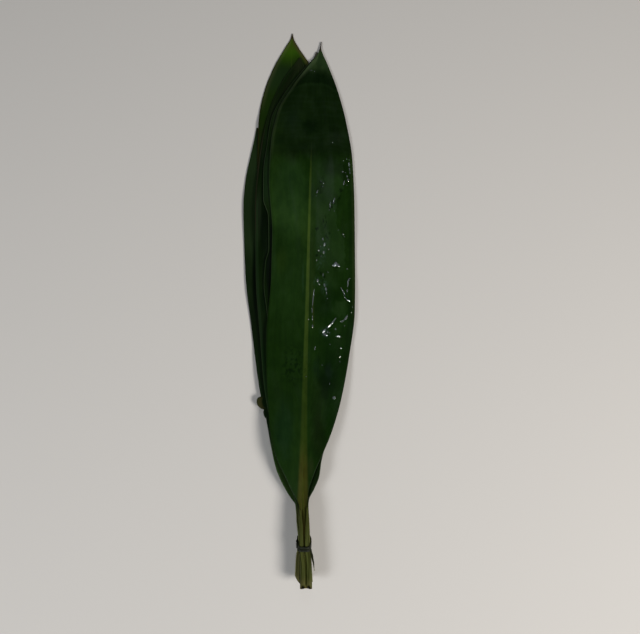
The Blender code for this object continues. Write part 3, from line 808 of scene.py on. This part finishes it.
# The front leaf, whole from cut end to tip: glossy, its right half wet. Its petiole has rolled
# edges, and its midrib widens towards the petiole.
leaf_front = dict(
    name="leaf_front",
    lobe=False,
    cut=-267,
    cut_shape=(0.5, -1.3, 0.8),
    tip=328,
    walls=(ROLLED_WALL, ROLLED_WALL),
    thick=ROLLED_THICK,
    opening=(-213, -171),
    loft=2.6,
    wave=(0.8, 120, 0.0),
    midrib=((-267, -13.3), (-248, -13.5), (-229, -15.2), (-203, -15.3), (-180, -16.6), (-94, -15.8),
            (8, -13.6), (110, -11.5), (200, -9.2), (263, -5.7), (309, -1.1), (328, 1.5)),
    left=((-191, -22.3), (-168, -32), (-141, -44.7), (-110, -51.4), (-24, -56.3), (44, -51.9), (91, -51.7),
          (157, -56.3), (198, -54.6), (236, -48.1), (271, -29.6), (300, -9.6), (312, -2.6), (319, -0.4),
          (328, 1.1)),
    right=((-191, -11.6), (-178, -11.2), (-161, -5.9), (-142, 2.5), (-120, 11.8), (-88, 21.4), (-42, 30.4),
           (8, 37.0), (60, 37.9), (130, 37.8), (178, 36.3), (225, 29.7), (264, 20.4), (298, 8.9),
           (312, 3.2), (319, 1.4), (328, 1.9)),
    rib=((-270, 6.0), (-196, 5.6), (-172, 4.5), (-150, 3.9), (-90, 2.8), (-30, 2.1), (40, 1.6), (150, 1.1),
         (215, 0.4), (328, 0.2)),
)
FRONT_COLORS = {"Deep": (0.004, 0.015, 0.001), "Fresh": (0.0074, 0.0255, 0.002)}
LEFT_HALF = ("share", -0.2, -0.4)
RIGHT_HALF = ("share", 0.2, 0.4)
MIDRIB = ("rib", 1.4, 0.7)
FRONT_TOUCHES = (
    # Painted shade over the upper blade, with a ragged lower edge.
    ("MULTIPLY", (0.64, 0.56, 0.82), ("ragged along", 181.0, 197.0)),
    # The crease near the tip: a band of painted shade above a thin arc of painted highlight, and a paler
    # point with painted reflection.
    ("MULTIPLY", (0.66, 0.76, 0.84), ("crease", 274.3, 276.1), ("crease", 298.0, 285.0)),
    ("ADD", (0.0016, 0.0034, 0.0016), ("crease", 269.5, 273.0), ("crease", 275.3, 273.7)),
    ("ADD", (0.0165, 0.0285, 0.0105), ("crease", 283.0, 303.0), "cloudy"),
    # Faint bars across the upper blade.
    ("ADD", (0.001, 0.0017, 0.0013), ("bars", 0.42, 0.66), ("along", 176.0, 196.0), ("along", 270.0, 258.0)),
    # The paler rim along the left of the upper blade, and painted light towards it.
    ("ADD", (0.0092, 0.012, 0.005), ("margin", 4.4, 2.2), LEFT_HALF, ("along", 165.0, 205.0)),
    ("ADD", (0.006, 0.009, 0.003), ("margin", 4.4, 2.2), LEFT_HALF, ("along", 165.0, 205.0),
     ("along", 255.0, 275.0)),
    ("ADD", (0.017, 0.022, 0.011), ("margin", 7.5, 3.5), ("share", -0.1, -0.3), ("along", 272.0, 288.0),
     ("along", 314.0, 300.0)),
    ("ADD", (0.007, 0.01, 0.0055), ("margin", 1.5, 0.7), LEFT_HALF, ("along", 20.0, 60.0)),
    ("ADD", (0.0044, 0.0092, 0.0016), ("margin", 24.0, 4.0), LEFT_HALF, ("along", 262.0, 174.0),
     ("along", 85.0, 112.0)),
    # The strip along the right margin has painted shade, but its rim is paler.
    ("MULTIPLY", (0.68, 0.76, 0.6), ("ragged margin", 11.0, 8.0), RIGHT_HALF, ("along", -70.0, -30.0),
     ("along", 178.0, 150.0)),
    ("ADD", (0.0064, 0.007, 0.0028), ("margin", 4.2, 2.0), RIGHT_HALF, ("along", -10.0, 15.0),
     ("along", 200.0, 170.0)),
    # The midrib is palest up the blade, and brownish with darker fibres just above the petiole.
    ("ADD", (0.0148, 0.024, 0.0056), MIDRIB, ("along", -110.0, 60.0), ("along", 190.0, 90.0)),
    ("ADD", (0.019, 0.0082, 0.002), MIDRIB, ("along", -122.0, -165.0)),
    ("MULTIPLY", (0.9, 0.62, 0.55), MIDRIB, ("along", -122.0, -165.0), ("fibres", 0.48, 0.66)),
)
# Its lighter and darker places. Some are broken up by grain.
BROKEN_UP = ("broken", 0.42, 0.6)
FRONT_SPOTS = (
    ("MULTIPLY", (0.46, 0.64, 0.32), ((-13.0, 217.0), (8.0, 9.0), 0, 0.5, 0.5)),
    ("MULTIPLY", (0.76, 0.84, 0.64), ((-6.0, 219.0), (12.0, 8.0), 0, 0.5, 0.7)),
    # Painted sheen along the edge of the wet film.
    ("ADD", (0.003, 0.0036, 0.0026), ((17.0, 204.0), (16.0, 7.5), 40, 0.9, 0.5)),
    ("MULTIPLY", (0.52, 0.54, 0.58), ((12.5, 171.0), (12.0, 15.0), 25, 0.7, 0.3)),
    ("MULTIPLY", (0.8, 0.86, 0.86), ((-46.0, 199.0), (10.0, 8.0), 0, 0.8, 0.4)),
    ("MULTIPLY", (0.72, 0.76, 0.62), ((18.0, 129.0), (3.5, 12.0), 10, 0.6, 0.3)),
    ("MULTIPLY", (0.78, 0.8, 0.72), ((26.0, 100.0), (4.5, 16.0), 0, 0.6, 0.3)),
    ("ADD", (0.0016, 0.0028, 0.0012), ((8.0, 116.0), (6.5, 17.0), 0, 0.5, 0.3)),
    ("ADD", (0.01, 0.008, 0.0028), ((-7.3, 8.0), (1.1, 21.0), 2, 0.7, 0.4)),
    ("MULTIPLY", (0.74, 0.8, 0.85), ((3.0, 8.0), (8.0, 14.0), 0, 0.8, 0.4)),
    ("ADD", (0.0034, 0.0064, 0.0012), ((-17.2, 88.0), (3.6, 15.0), 0, 0.8, 0.3)),
    ("MULTIPLY", (0.84, 0.7, 0.76), ((-31.0, 180.0), (9.0, 10.0), 0, 0.8, 0.3)),
    ("ADD", (0.0036, 0.0052, 0.0026), ((-6.5, 155.0), (4.5, 34.0), 0, 0.7, 0.2)),
    ("ADD", (0.0034, 0.004, 0.001), ((-9.0, 55.0), (4.5, 60.0), 0, 0.7, 0.2)),
    ("ADD", (0.002, 0.0034, 0.0012), ((11.0, 43.0), (14.0, 26.0), 0, 0.8, 0.5)),
    ("MULTIPLY", (0.9, 0.78, 0.85), ((0.0, -85.0), (11.0, 34.0), 0, 0.8, 0.3)),
    ("ADD", (0.0022, 0.0044, 0.0008), ((-24.3, -128.0), (4.5, 42.0), 0, 0.8, 0.2)),
    # Painted light over the left half.
    ("ADD", (0.0042, 0.0096, 0.0036), ((-33.0, 135.0), (21.0, 48.0), 0, 0.5, 0.2)),
    ("ADD", (0.003, 0.0068, 0.002), ((-34.0, 46.0), (19.0, 66.0), 0, 0.9, 0.2)),
    ("ADD", (0.0014, 0.0034, 0.0012), ((-33.0, -150.0), (12.0, 26.0), 0, 0.7, 0.3)),
    ("MULTIPLY", (0.62, 0.82, 0.46), ((20.0, -50.0), (24.0, 112.0), 0, 0.4, 0.2)),
    ("MULTIPLY", (0.8, 0.86, 0.78), ((-34.0, -92.0), (20.0, 44.0), 0, 0.9, 0.3)),
    ("MULTIPLY", (0.34, 0.56, 0.36), ((7.0, -68.0), (10.0, 17.0), 0, 0.8, 0.5)),
    # Painted light in the shaded slit of the rolled petiole around the band.
    ("ADD", (0.016, 0.02, 0.0034), ((-15.0, -221.0), (4.0, 15.0), 0, 0.5, 0.0)),
    # Painted shade in the hollow ends of its rolls at the cut.
    ("MULTIPLY", (0.05, 0.05, 0.05), ((-16.3, -266.9), (1.8, 3.0), 0, 0.5, 0.0)),
    ("MULTIPLY", (0.05, 0.05, 0.05), ((-10.7, -266.9), (1.8, 3.0), 0, 0.5, 0.0)),
    # Painted light on the shaded floor between the rolls below the band.
    ("ADD", (0.16, 0.168, 0.05), ((-13.5, -247.0), (3.0, 17.0), 0, 0.5, 0.0)),
    ("ADD", (0.0, 0.0008, 0.0024), ((-36.0, -118.0), (11.0, 30.0), 0, 0.7, 0.5)),
    ("MULTIPLY", (0.84, 0.68, 0.9), ((-1.0, -126.0), (9.0, 24.0), 0, 0.7, 0.3)),
    ("ADD", (0.007, 0.004, 0.0028), ((-9.0, -153.0), (3.0, 10.0), 0, 0.8, 0.2)),
    ("ADD", (0.003, 0.004, 0.0), ((-41.0, 60.0), (7.0, 15.0), 0, 0.7, 0.5)),
    # A thin painted highlight left of the midrib.
    ("ADD", (0.003, 0.0065, 0.0045), ((-18.0, 40.0), (1.3, 17.0), 0, 0.6, 0.2)),
    ("ADD", (0.004, 0.007, 0.0028), ((21.0, 8.0), (8.0, 10.0), -20, 0.4, 0.9)),
    ("ADD", (0.0068, 0.014, 0.0028), ((-22.0, 108.0), (30.0, 22.0), 0, 1.0, 0.3)),
    ("ADD", (0.0008, 0.0014, 0.002), ((-4.0, -56.0), (5.0, 12.0), 0, 0.8, 0.3)),
    ("MULTIPLY", (0.68, 0.8, 0.6), ((16.0, -74.0), (16.0, 44.0), 0, 0.8, 0.3)),
    ("MULTIPLY", (0.74, 0.8, 0.6), ((8.0, 22.0), (12.0, 9.0), 20, 0.5, 0.6)),
    ("MULTIPLY", (0.74, 0.84, 0.6), ((12.0, -40.0), (14.0, 26.0), 0, 0.6, 0.5)),
    ("MULTIPLY", (0.66, 0.66, 0.66), ((1.0, 144.0), (5.0, 9.0), -35, 0.6, 0.8)),
    ("MULTIPLY", (0.62, 0.66, 0.5), ((28.0, 166.0), (7.0, 16.0), 0, 0.7, 0.9)),
    ("ADD", (0.0014, 0.0026, 0.002), ((-33.0, 224.0), (12.0, 15.0), 0, 0.9, 0.3)),
    # Painted bluish sheen of the water, broken up by grain.
    ("ADD", (0.012, 0.0185, 0.019), ((4.3, 75.0), (4.5, 9.0), -12, 0.8, 1.0), BROKEN_UP),
    ("ADD", (0.006, 0.01, 0.0105), ((0.5, 58.0), (4.0, 9.0), -20, 0.8, 1.0), BROKEN_UP),
    ("ADD", (0.01, 0.0165, 0.017), ((5.0, 31.0), (3.4, 10.0), 8, 0.8, 1.0), BROKEN_UP),
    ("ADD", (0.0085, 0.014, 0.0145), ((-3.0, 38.0), (3.6, 6.5), 0, 0.8, 1.0), BROKEN_UP),
    ("ADD", (0.014, 0.02, 0.022), ((5.2, -17.5), (5.0, 6.0), 0, 0.8, 1.0), BROKEN_UP),
    ("ADD", (0.0018, 0.0034, 0.0014), ((12.5, 36.0), (7.0, 8.0), 0, 0.7, 0.8)),
    ("ADD", (0.0016, 0.0022, 0.0028), ((9.5, -58.0), (4.0, 9.0), 0, 0.7, 0.8)),
)
FRONT_LAST = (
    # Soft cloudiness all over the blade, and small dark flecks low on the left half.
    ("MULTIPLY", (0.82, 0.86, 0.92), ("clouds", 0.56, 0.38)),
    ("ADD", (0.0014, 0.0022, 0.0016), ("clouds", 0.48, 0.68)),
    ("MULTIPLY", (0.36, 0.5, 0.36), ((-27.0, -52.0), (13.0, 20.0), 0, 0.8, 0.3), ("flecks", 0.51, 0.57)),
    # Painted sheen on the film of water, specks of painted shadow between the drops, and the dried tip.
    ("ADD", (0.0034, 0.0064, 0.0028), "wet", ("along", 20.0, 70.0)),
    ("MULTIPLY", (0.34, 0.44, 0.3), "speckled"),
    ("MIX", (0.018, 0.012, 0.005), ("along", 313.0, 318.0)),
)
# Groups of specks of painted drop shadow: place and reach.
SPECK_PLACES = (
    ((1.0, 147.0), (3.5, 12.0)), ((13.0, 124.0), (4.5, 8.0)), ((6.0, 106.0), (3.5, 9.0)),
    ((-4.0, 96.0), (2.5, 4.0)), ((-1.5, 66.0), (4.0, 6.0)), ((9.0, 88.0), (4.0, 5.0)),
    ((3.0, 44.0), (6.0, 7.0)), ((22.0, 138.0), (3.0, 8.0)),
)
SPECK_EDGE = (-15, 0.5, 0.4)
SPECKS = ("specks", 0.5, 0.58)
# Grain over the drawing: pace across and along, seed, detail and roughness.
FRONT_GRAIN = {
    "ragged": (0.16, 0.1, 3.0, 4.0),
    "bars": (0.03, 0.3, 11.0, 3.0),
    "broken": (0.55, 0.3, 17.0, 3.0),
    "clouds": (0.1, 0.055, 21.0, 5.0, 0.6),
    "flecks": (0.27, 0.2, 8.0, 3.0),
    "specks": (0.42, 0.2, 15.0, 3.0),
}
# What the ragged grain pushes about, and how far.
CREASE_BOW = 0.012
PUSHED = {
    "ragged along": ("along", 14.0),
    "ragged margin": ("margin", 5.0),
    "crease": ("bowed", 5.0),
    "cloudy": ("paler", 1.1),
    "wet start": ("along", 30.0),
}
# The film of water on the right half: its wavy right edge, and where that is further right.
WET_EDGE = 14.5
WET_WAVES = 7.0
WET_FURTHER = ((7.5, ("drawn y", 128.0, 146.0)), (8.5, ("drawn y", 102.0, 82.0)))
WET = (("from edge", 0.6, -0.6), ("right of rib", 0.6, 1.6), ("along", 184.0, 168.0),
       ("wet start", 62.0, 74.0))
DRY_COAT, WET_COAT = 0.06, 0.12
# The midrib fades out below the tip.
RIB_STRENGTH = (("along", 208.0, 160.0), 0.9)
# Painted shade in the hollow ends of its rolls at the cut.
HOLLOW_SHADE = (0.0035, 0.003, 0.0012)
SHADED_HOLLOW_ENDS = tuple(("MIX", HOLLOW_SHADE, ((x, -266.9), (1.8, 3.0), 0, 0.5, 0.0)) for x in (-16.3, -10.7))

front_values = {"Seed": 0.0, "Dried Length": 6.0}
front_skin = leaf_material("front_leaf_skin", leaf_front, FRONT_COLORS, front_values, GLOSSY_COAT)
tree = front_skin.node_tree
places = leaf_places(tree)
share, out, along = places["share"], places["out"], places["along"]
drawn_x, drawn_y = places["drawn x"], places["drawn y"]
# The grains and places that its touches go by.
for name, (pace_across, pace_along, *rest) in FRONT_GRAIN.items():
    places[name] = grain(tree, (drawn_x, pace_across), (drawn_y, pace_along), *rest)
places["fibres"] = grain(tree, (out, share, 9.0), (along, 0.03), 2.0, 2.0)
places["bowed"] = maths(tree, "ADD", along, product(tree, out, out, CREASE_BOW))
places["paler"] = 0.45
for name, (pushed, far) in PUSHED.items():
    places[name] = maths(tree, "MULTIPLY_ADD", places["ragged"], far, places[pushed])
# The groups of specks of painted drop shadow.
places["speckled"] = 0.0
for place, reach in SPECK_PLACES:
    group = mask_of(tree, places, (place, reach, *SPECK_EDGE), SPECKS)
    places["speckled"] = maths(tree, "MAXIMUM", places["speckled"], group)
# The film of water, glossier than the dry skin.
wavy = grain(tree, (drawn_y, 0.14), 5.0, 5.0, 2.0)
wet_edge = maths(tree, "MULTIPLY_ADD", wavy, WET_WAVES, WET_EDGE)
for further, part in WET_FURTHER:
    wet_edge = maths(tree, "MULTIPLY_ADD", mask_of(tree, places, part), further, wet_edge)
places["from edge"] = maths(tree, "SUBTRACT", drawn_x, wet_edge)
places["right of rib"] = product(tree, out, share)
places["wet"] = mask_of(tree, places, *WET)
coat = maths(tree, "MULTIPLY_ADD", places["wet"], WET_COAT, DRY_COAT)
set_inputs(shader_of(front_skin), {"Coat Weight": coat})
set_inputs(tissue_of(front_skin), {"Rib Strength": mask_of(tree, places, *RIB_STRENGTH)})
paint(front_skin, places, FRONT_TOUCHES + FRONT_SPOTS + FRONT_LAST)
front_grown = add_leaf(leaf_front, front_skin)
front_underside = front_grown.data.materials[1]
paint(front_underside, leaf_places(front_underside.node_tree), SHADED_HOLLOW_ENDS)


# Water on the front leaf: drops and short runs that stand on its wet right half. Each is a low dome,
# drawn out along its route.
DROP_HEIGHT = 0.55
DROP_SINK = 0.12
DROP_UNDER = 0.2
DROP_ROUND = 3
# A run heads for the place this far ahead; a shorter one than this stays round.
RUN_AHEAD = 0.6
SHORTEST_RUN = 0.2
WATER = {
    "Base Color": (0.75, 0.86, 0.92),
    "Roughness": 0.04,
    "IOR": 1.33,
    "Specular IOR Level": 1.0,
    "Transmission Weight": 0.9,
    "Coat Weight": 1.0,
    "Coat Roughness": 0.04,
    "Coat IOR": 2.6,
}
WATER_RIPPLES = 900.0
WATER_RELIEF = (0.15, 0.0002)
# Half width, then the places of its route on the drawing.
DROPS = (
    (0.5, (-11.2, 287.7)), (0.6, (-9.4, 287.7)), (0.5, (-6.2, 287.3)), (0.5, (14.1, 198.0)),
    (0.55, (29.6, 181.0)), (0.5, (32.4, 179.9)), (0.6, (26.0, 177.6)),
    (0.95, (32.3, 176.4), (32.5, 172.6)), (0.7, (32.7, 170.0), (32.9, 167.8)),
    (0.5, (33.2, 165.7), (33.2, 163.8)), (1.0, (25.1, 164.4)), (0.5, (28.2, 164.1)),
    (0.8, (29.7, 160.5), (30.2, 159.4)), (0.85, (30.7, 156.5), (31.1, 154.9)),
    (0.6, (26.9, 154.2), (25.8, 148.9)), (0.5, (29.7, 149.4)), (0.5, (1.1, 152.3)), (0.65, (3.8, 150.0)),
    (0.5, (2.9, 146.2)), (0.7, (-2.4, 141.1), (-3.7, 138.3)), (0.5, (-3.9, 134.8)),
    (0.7, (16.2, 132.5), (15.1, 129.9), (14.4, 126.5)),
    (0.75, (11.2, 127.6), (10.9, 124.4), (11.0, 121.5)), (0.5, (10.0, 118.3)), (0.5, (15.5, 117.5)),
    (0.8, (25.1, 91.2)), (0.5, (19.7, 95.5)), (0.5, (26.3, 88.7)), (0.7, (3.1, 85.6), (2.8, 83.8)),
    (1.0, (5.0, 79.7), (4.2, 77.2)), (0.9, (4.1, 70.7), (4.0, 68.9)), (0.9, (-1.0, 71.7)),
    (0.6, (9.5, 73.0)), (0.6, (-3.6, 61.2)), (0.6, (1.1, 65.6)), (0.55, (0.6, 76.3)),
    (1.5, (16.9, 58.2), (15.6, 56.2)), (1.3, (14.3, 55.5), (16.9, 55.8)),
    (1.2, (17.8, 56.9), (20.2, 55.1)), (0.75, (29.0, 53.2)), (0.5, (8.2, 48.0)),
    (0.5, (3.4, 46.2), (3.0, 43.6)),
    (0.75, (32.6, 43.1), (30.9, 42.3), (29.9, 39.6), (29.7, 36.3), (29.4, 33.5)),
    (0.5, (29.1, 30.4), (28.6, 27.3)), (0.6, (22.1, 31.5), (23.8, 28.9), (25.0, 26.2), (26.4, 23.6)),
    (0.45, (26.3, 21.7), (28.6, 18.8), (32.2, 17.5)), (1.0, (-2.4, 39.2), (-2.3, 37.6)),
    (0.8, (-0.7, 34.1)), (0.8, (4.4, 34.6), (5.1, 32.4)), (1.0, (6.1, 30.5), (6.4, 28.4)),
    (0.55, (6.8, 26.0), (7.0, 23.8)), (0.6, (7.7, 19.0)),
    (0.55, (-6.0, 28.6), (-6.8, 22.7), (-7.5, 16.2), (-8.0, 10.3)), (0.5, (-8.3, 8.2), (-8.2, 3.2)),
    (0.45, (-8.0, -0.0), (-7.9, -4.8)), (0.75, (-7.7, -10.3), (-7.7, -12.4)), (0.55, (-11.8, -3.9)),
    (0.8, (16.4, -2.2), (14.7, -4.7), (12.7, -7.4), (10.1, -10.1), (7.3, -12.7)),
    (1.5, (5.0, -15.0), (3.6, -16.9)), (1.4, (3.8, -18.6), (5.9, -19.9)), (1.1, (6.7, -20.8)),
    (0.8, (8.0, -17.6)), (1.05, (28.6, 1.3), (27.4, -0.9), (26.0, -2.8)),
    (0.95, (23.9, -4.5), (22.7, -5.4)), (0.95, (16.1, -13.9)),
    (0.6, (16.7, -21.8), (19.0, -20.6), (21.5, -22.2)), (0.5, (34.5, 11.8)), (0.5, (33.4, 5.7)),
    (0.5, (25.8, -9.7)), (0.7, (21.9, -33.6)), (0.85, (20.8, -43.1)), (0.5, (20.6, -47.7)),
    (1.7, (14.3, -85.4)), (0.45, (-14.2, -63.9)), (0.5, (-5.0, -33.0), (-5.6, -36.2)),
    (0.5, (10.4, -29.9)), (0.45, (2.1, -52.0)), (0.45, (9.9, -70.7)),
)

water = add_material("clear_water", WATER)
own = water.node_tree.nodes.new("ShaderNodeTexCoord").outputs["Object"]
ripple = add_node(water.node_tree, "ShaderNodeTexNoise", {"Vector": own, "Scale": WATER_RIPPLES})
add_relief(water, ripple.outputs["Fac"], *WATER_RELIEF)


def leaf_height(leaf, x, y):
    """The height of a leaf's upper face at places of its open blade."""
    _, spread, side = across(leaf, x, y)
    return leaf_surface(leaf, side, np.minimum(spread, 1.0) ** (1 / COLUMN_CROWDING), y)[1]


def run_lengths(route):
    """How far along a route each of its points is."""
    return np.concatenate(([0.0], np.cumsum(np.hypot(*np.diff(route, axis=0).T))))


drops = bmesh.new()
for half, *route in DROPS:
    started = len(drops.verts)
    bmesh.ops.create_icosphere(drops, subdivisions=DROP_ROUND, radius=half)
    drops.verts.ensure_lookup_table()
    route = np.array(route if len(route) > 1 else route * 2)
    lengths = run_lengths(route)
    # Each point of the dome goes to its share of the route, and out to its side of it.
    for vert in drops.verts[started:]:
        at = lengths[-1] * (vert.co.x / half + 1) / 2
        before, here, ahead = (
            np.array([np.interp(at + step_on, lengths, route[:, i]) for i in (0, 1)])
            for step_on in (-RUN_AHEAD, 0, RUN_AHEAD)
        )
        heading = ahead - before if lengths[-1] > SHORTEST_RUN else np.array([1.0, 0.0])
        heading = heading / np.hypot(*heading)
        spot_x, spot_y = here + heading * vert.co.x + np.array([-heading[1], heading[0]]) * vert.co.y
        up = max(vert.co.z, -DROP_UNDER * half) * DROP_HEIGHT - DROP_SINK * half
        vert.co = (spot_x, spot_y, up)
drop_points = np.array([vert.co for vert in drops.verts])
ground = leaf_height(leaf_front, drop_points[:, 0], drop_points[:, 1])
for vert, height in zip(drops.verts, ground):
    vert.co = (vert.co + Vector((SHIFT_X, SHIFT_Y, height))) * MM
water_drops = add_object("water_drops", drops, water)
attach(water_drops, "root")


# The torn shred of the second leaf's sheath: a thin pointed strip of the same tissue, dry at its
# end, that stands off beside the petiole below the band.
SHRED_ROOT = Vector((-9.7, -231.5, 18.4))
SHRED_END = Vector((-5.4, -252.0, 17.0))
SHRED_WIDTH = 1.3
SHRED_POINT = 0.06
SHRED_THICK = 0.45
SHRED_BOW = 0.6
SHRED_COLUMNS, SHRED_ROWS = 4, 20
# Its width tapers by these powers, and its edges ripple: height, pace along, pace across.
SHRED_TAPER = (1.6, 0.8)
SHRED_RIPPLE = (0.12, 19, 2)
# Neither the margin's color nor the midrib's shows on it.
SHRED_INSIDE = 2.0
SHRED_COLORS = {"Petiole": (0.01, 0.013, 0.002), "Petiole Pale": (0.016, 0.024, 0.004),
                "Cut End": (0.3, 0.3, 0.18)}

shred_values = {"Seed": 7.7, "Cut Place": -256.5}
shred_skin = leaf_material("torn_shred_skin", leaf_second, SHRED_COLORS, shred_values, DULL_COAT)
shred = bmesh.new()
bmesh.ops.create_grid(shred, x_segments=SHRED_COLUMNS, y_segments=SHRED_ROWS, size=0.5)
shred_blade = shred.verts.layers.float_vector.new("blade")
shred_run = shred.verts.layers.float_vector.new("run")
for vert in shred.verts:
    aside, down = 2 * vert.co.x, vert.co.y + 0.5
    high, pace_along, pace_across = SHRED_RIPPLE
    ripple = 1 + high * sin(pace_along * down + pace_across * aside)
    width = SHRED_WIDTH * (1 - down ** SHRED_TAPER[0]) ** SHRED_TAPER[1] * ripple
    middle = SHRED_ROOT.lerp(SHRED_END, down) + Vector((SHRED_BOW * sin(pi * down), 0, 0))
    vert[shred_blade] = (aside, SHRED_INSIDE, abs(aside))
    vert[shred_run] = (middle.y, middle.y, SHRED_INSIDE)
    cupped = Vector((aside * max(width, SHRED_POINT), 0, SHRED_THICK * aside**2))
    vert.co = (middle + cupped + Vector((SHIFT_X, SHIFT_Y, 0))) * MM
torn_shred = add_object("torn_shred", shred, shred_skin)
shred_solid = torn_shred.modifiers.new("Thickness", "SOLIDIFY")
shred_solid.thickness = SHRED_THICK * MM
shred_solid.offset = -1.0
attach(torn_shred, "root")
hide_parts("leaf_second")


# The rubber band: one black band laid twice round the petioles, its flat strands side by side and
# crossing once at the left.
BAND_THICK = 1.2
BAND_WIDE = 2.35
BAND_CLEARANCE = 0.05
BAND_PLACE = -226.7
BAND_TILT = 5.0
BAND_STEPS = 220
BAND_STRAND_STEP = 2.4
BAND_CROSSING = 2.4
BAND_OVER = 1.05
BAND_AHEAD = 0.004
BAND_SIDES = 24
# How square the flat section's corners are, across and through it.
BAND_SQUARE_WIDE, BAND_SQUARE_HIGH = 0.55, 0.75
BAND_MERGE = 0.00001
PETIOLE_SAMPLES = 40
ROUTE_SAMPLES = 720
BAND_COLOR = (0.0056, 0.0068, 0.004)
BAND_DUST = (0.03, 0.037, 0.014)
BAND_RELIEF = (0.3, 0.0003)
BAND_SHINE = 0.15

petiole_points = []
for leaf in stack:
    for side in (-1, 1):
        share = np.linspace(0, 1, PETIOLE_SAMPLES)
        x, z, thick, _ = leaf_surface(leaf, side, share, np.full(PETIOLE_SAMPLES, BAND_PLACE))
        rise = np.arctan2(np.gradient(z), np.gradient(x) * side) * side
        petiole_points += list(zip(x, z))
        petiole_points += list(zip(x + np.sin(rise) * thick, z - np.cos(rise) * thick))
petiole_points = np.array(petiole_points)
turns = np.linspace(0, 2 * pi, ROUTE_SAMPLES + 1)[:-1]
away = np.stack((np.cos(turns), np.sin(turns)), 1)
furthest = petiole_points[np.argmax(petiole_points @ away.T, axis=0)]
route = furthest + away * (BAND_CLEARANCE + BAND_THICK / 2)
route = np.concatenate((route, route[:1]))
lengths = run_lengths(route)
route_middle = route.mean(0)
half_height = np.ptp(route[:, 1]) / 2


def band_point(share):
    """A place on the band's middle line; share runs from 0 to 2 over its two turns."""
    turn = share % 2 // 1
    at = lengths[-1] * (share % 1)
    place = np.array([np.interp(at, lengths, route[:, i]) for i in (0, 1)])
    from_crossing = BAND_CROSSING * (2 * pi * (share % 1) - pi)
    along = (1 - 2 * turn) * BAND_STRAND_STEP / 2 * tanh(from_crossing)
    over = (1 - turn) * BAND_THICK * BAND_OVER / cosh(from_crossing)
    outwards = place - route_middle
    spot_x, spot_z = place + outwards / np.hypot(*outwards) * over
    y = BAND_PLACE - BAND_TILT * (spot_z - route_middle[1]) / half_height + along
    return Vector((spot_x + SHIFT_X, y + SHIFT_Y, spot_z))


def squared(value, power):
    """A cosine or sine pushed out towards the corners of a flat section."""
    return (1 if value > 0 else -1) * abs(value) ** power


loop = bmesh.new()
bmesh.ops.create_grid(loop, x_segments=BAND_STEPS, y_segments=BAND_SIDES, size=0.5)
band_layer = loop.verts.layers.float_vector.new("strand")
for vert in loop.verts:
    share, turn = 2 * (vert.co.x + 0.5), 2 * pi * (vert.co.y + 0.5)
    heading = (band_point(share + BAND_AHEAD) - band_point(share - BAND_AHEAD)).normalized()
    outwards = Vector((heading.z, 0, -heading.x)).normalized()
    sideways = heading.cross(outwards)
    wide = BAND_WIDE / 2 * squared(cos(turn), BAND_SQUARE_WIDE)
    high = BAND_THICK / 2 * squared(sin(turn), BAND_SQUARE_HIGH)
    vert[band_layer] = (share * lengths[-1], wide, high)
    vert.co = (band_point(share) + sideways * wide + outwards * high) * MM
bmesh.ops.remove_doubles(loop, verts=loop.verts, dist=BAND_MERGE)
bmesh.ops.recalc_face_normals(loop, faces=loop.faces)

# Black rubber with fine lines along it, dusty in places and on its rubbed edges.
rubber = add_material("black_rubber", {"Specular IOR Level": BAND_SHINE})
tree = rubber.node_tree
run, wide, high = carried(tree, "strand")
lines = grain(tree, (run, 0.25), (wide, 3.5), high, 3.0)
dust = blend_color(tree, fade(tree, lines, 0.46, 0.7), BAND_COLOR, BAND_DUST)
dust = blend_color(tree, fade(tree, product(tree, wide, wide), 0.95, 1.3), dust, BAND_DUST)
roughness = maths(tree, "MULTIPLY_ADD", lines, 0.2, 0.45)
set_inputs(shader_of(rubber), {"Base Color": dust, "Roughness": roughness})
add_relief(rubber, lines, *BAND_RELIEF)
band_laid = add_object("rubber_band_laid", loop, rubber)
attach(band_laid, "root")
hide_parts("rubber_band")
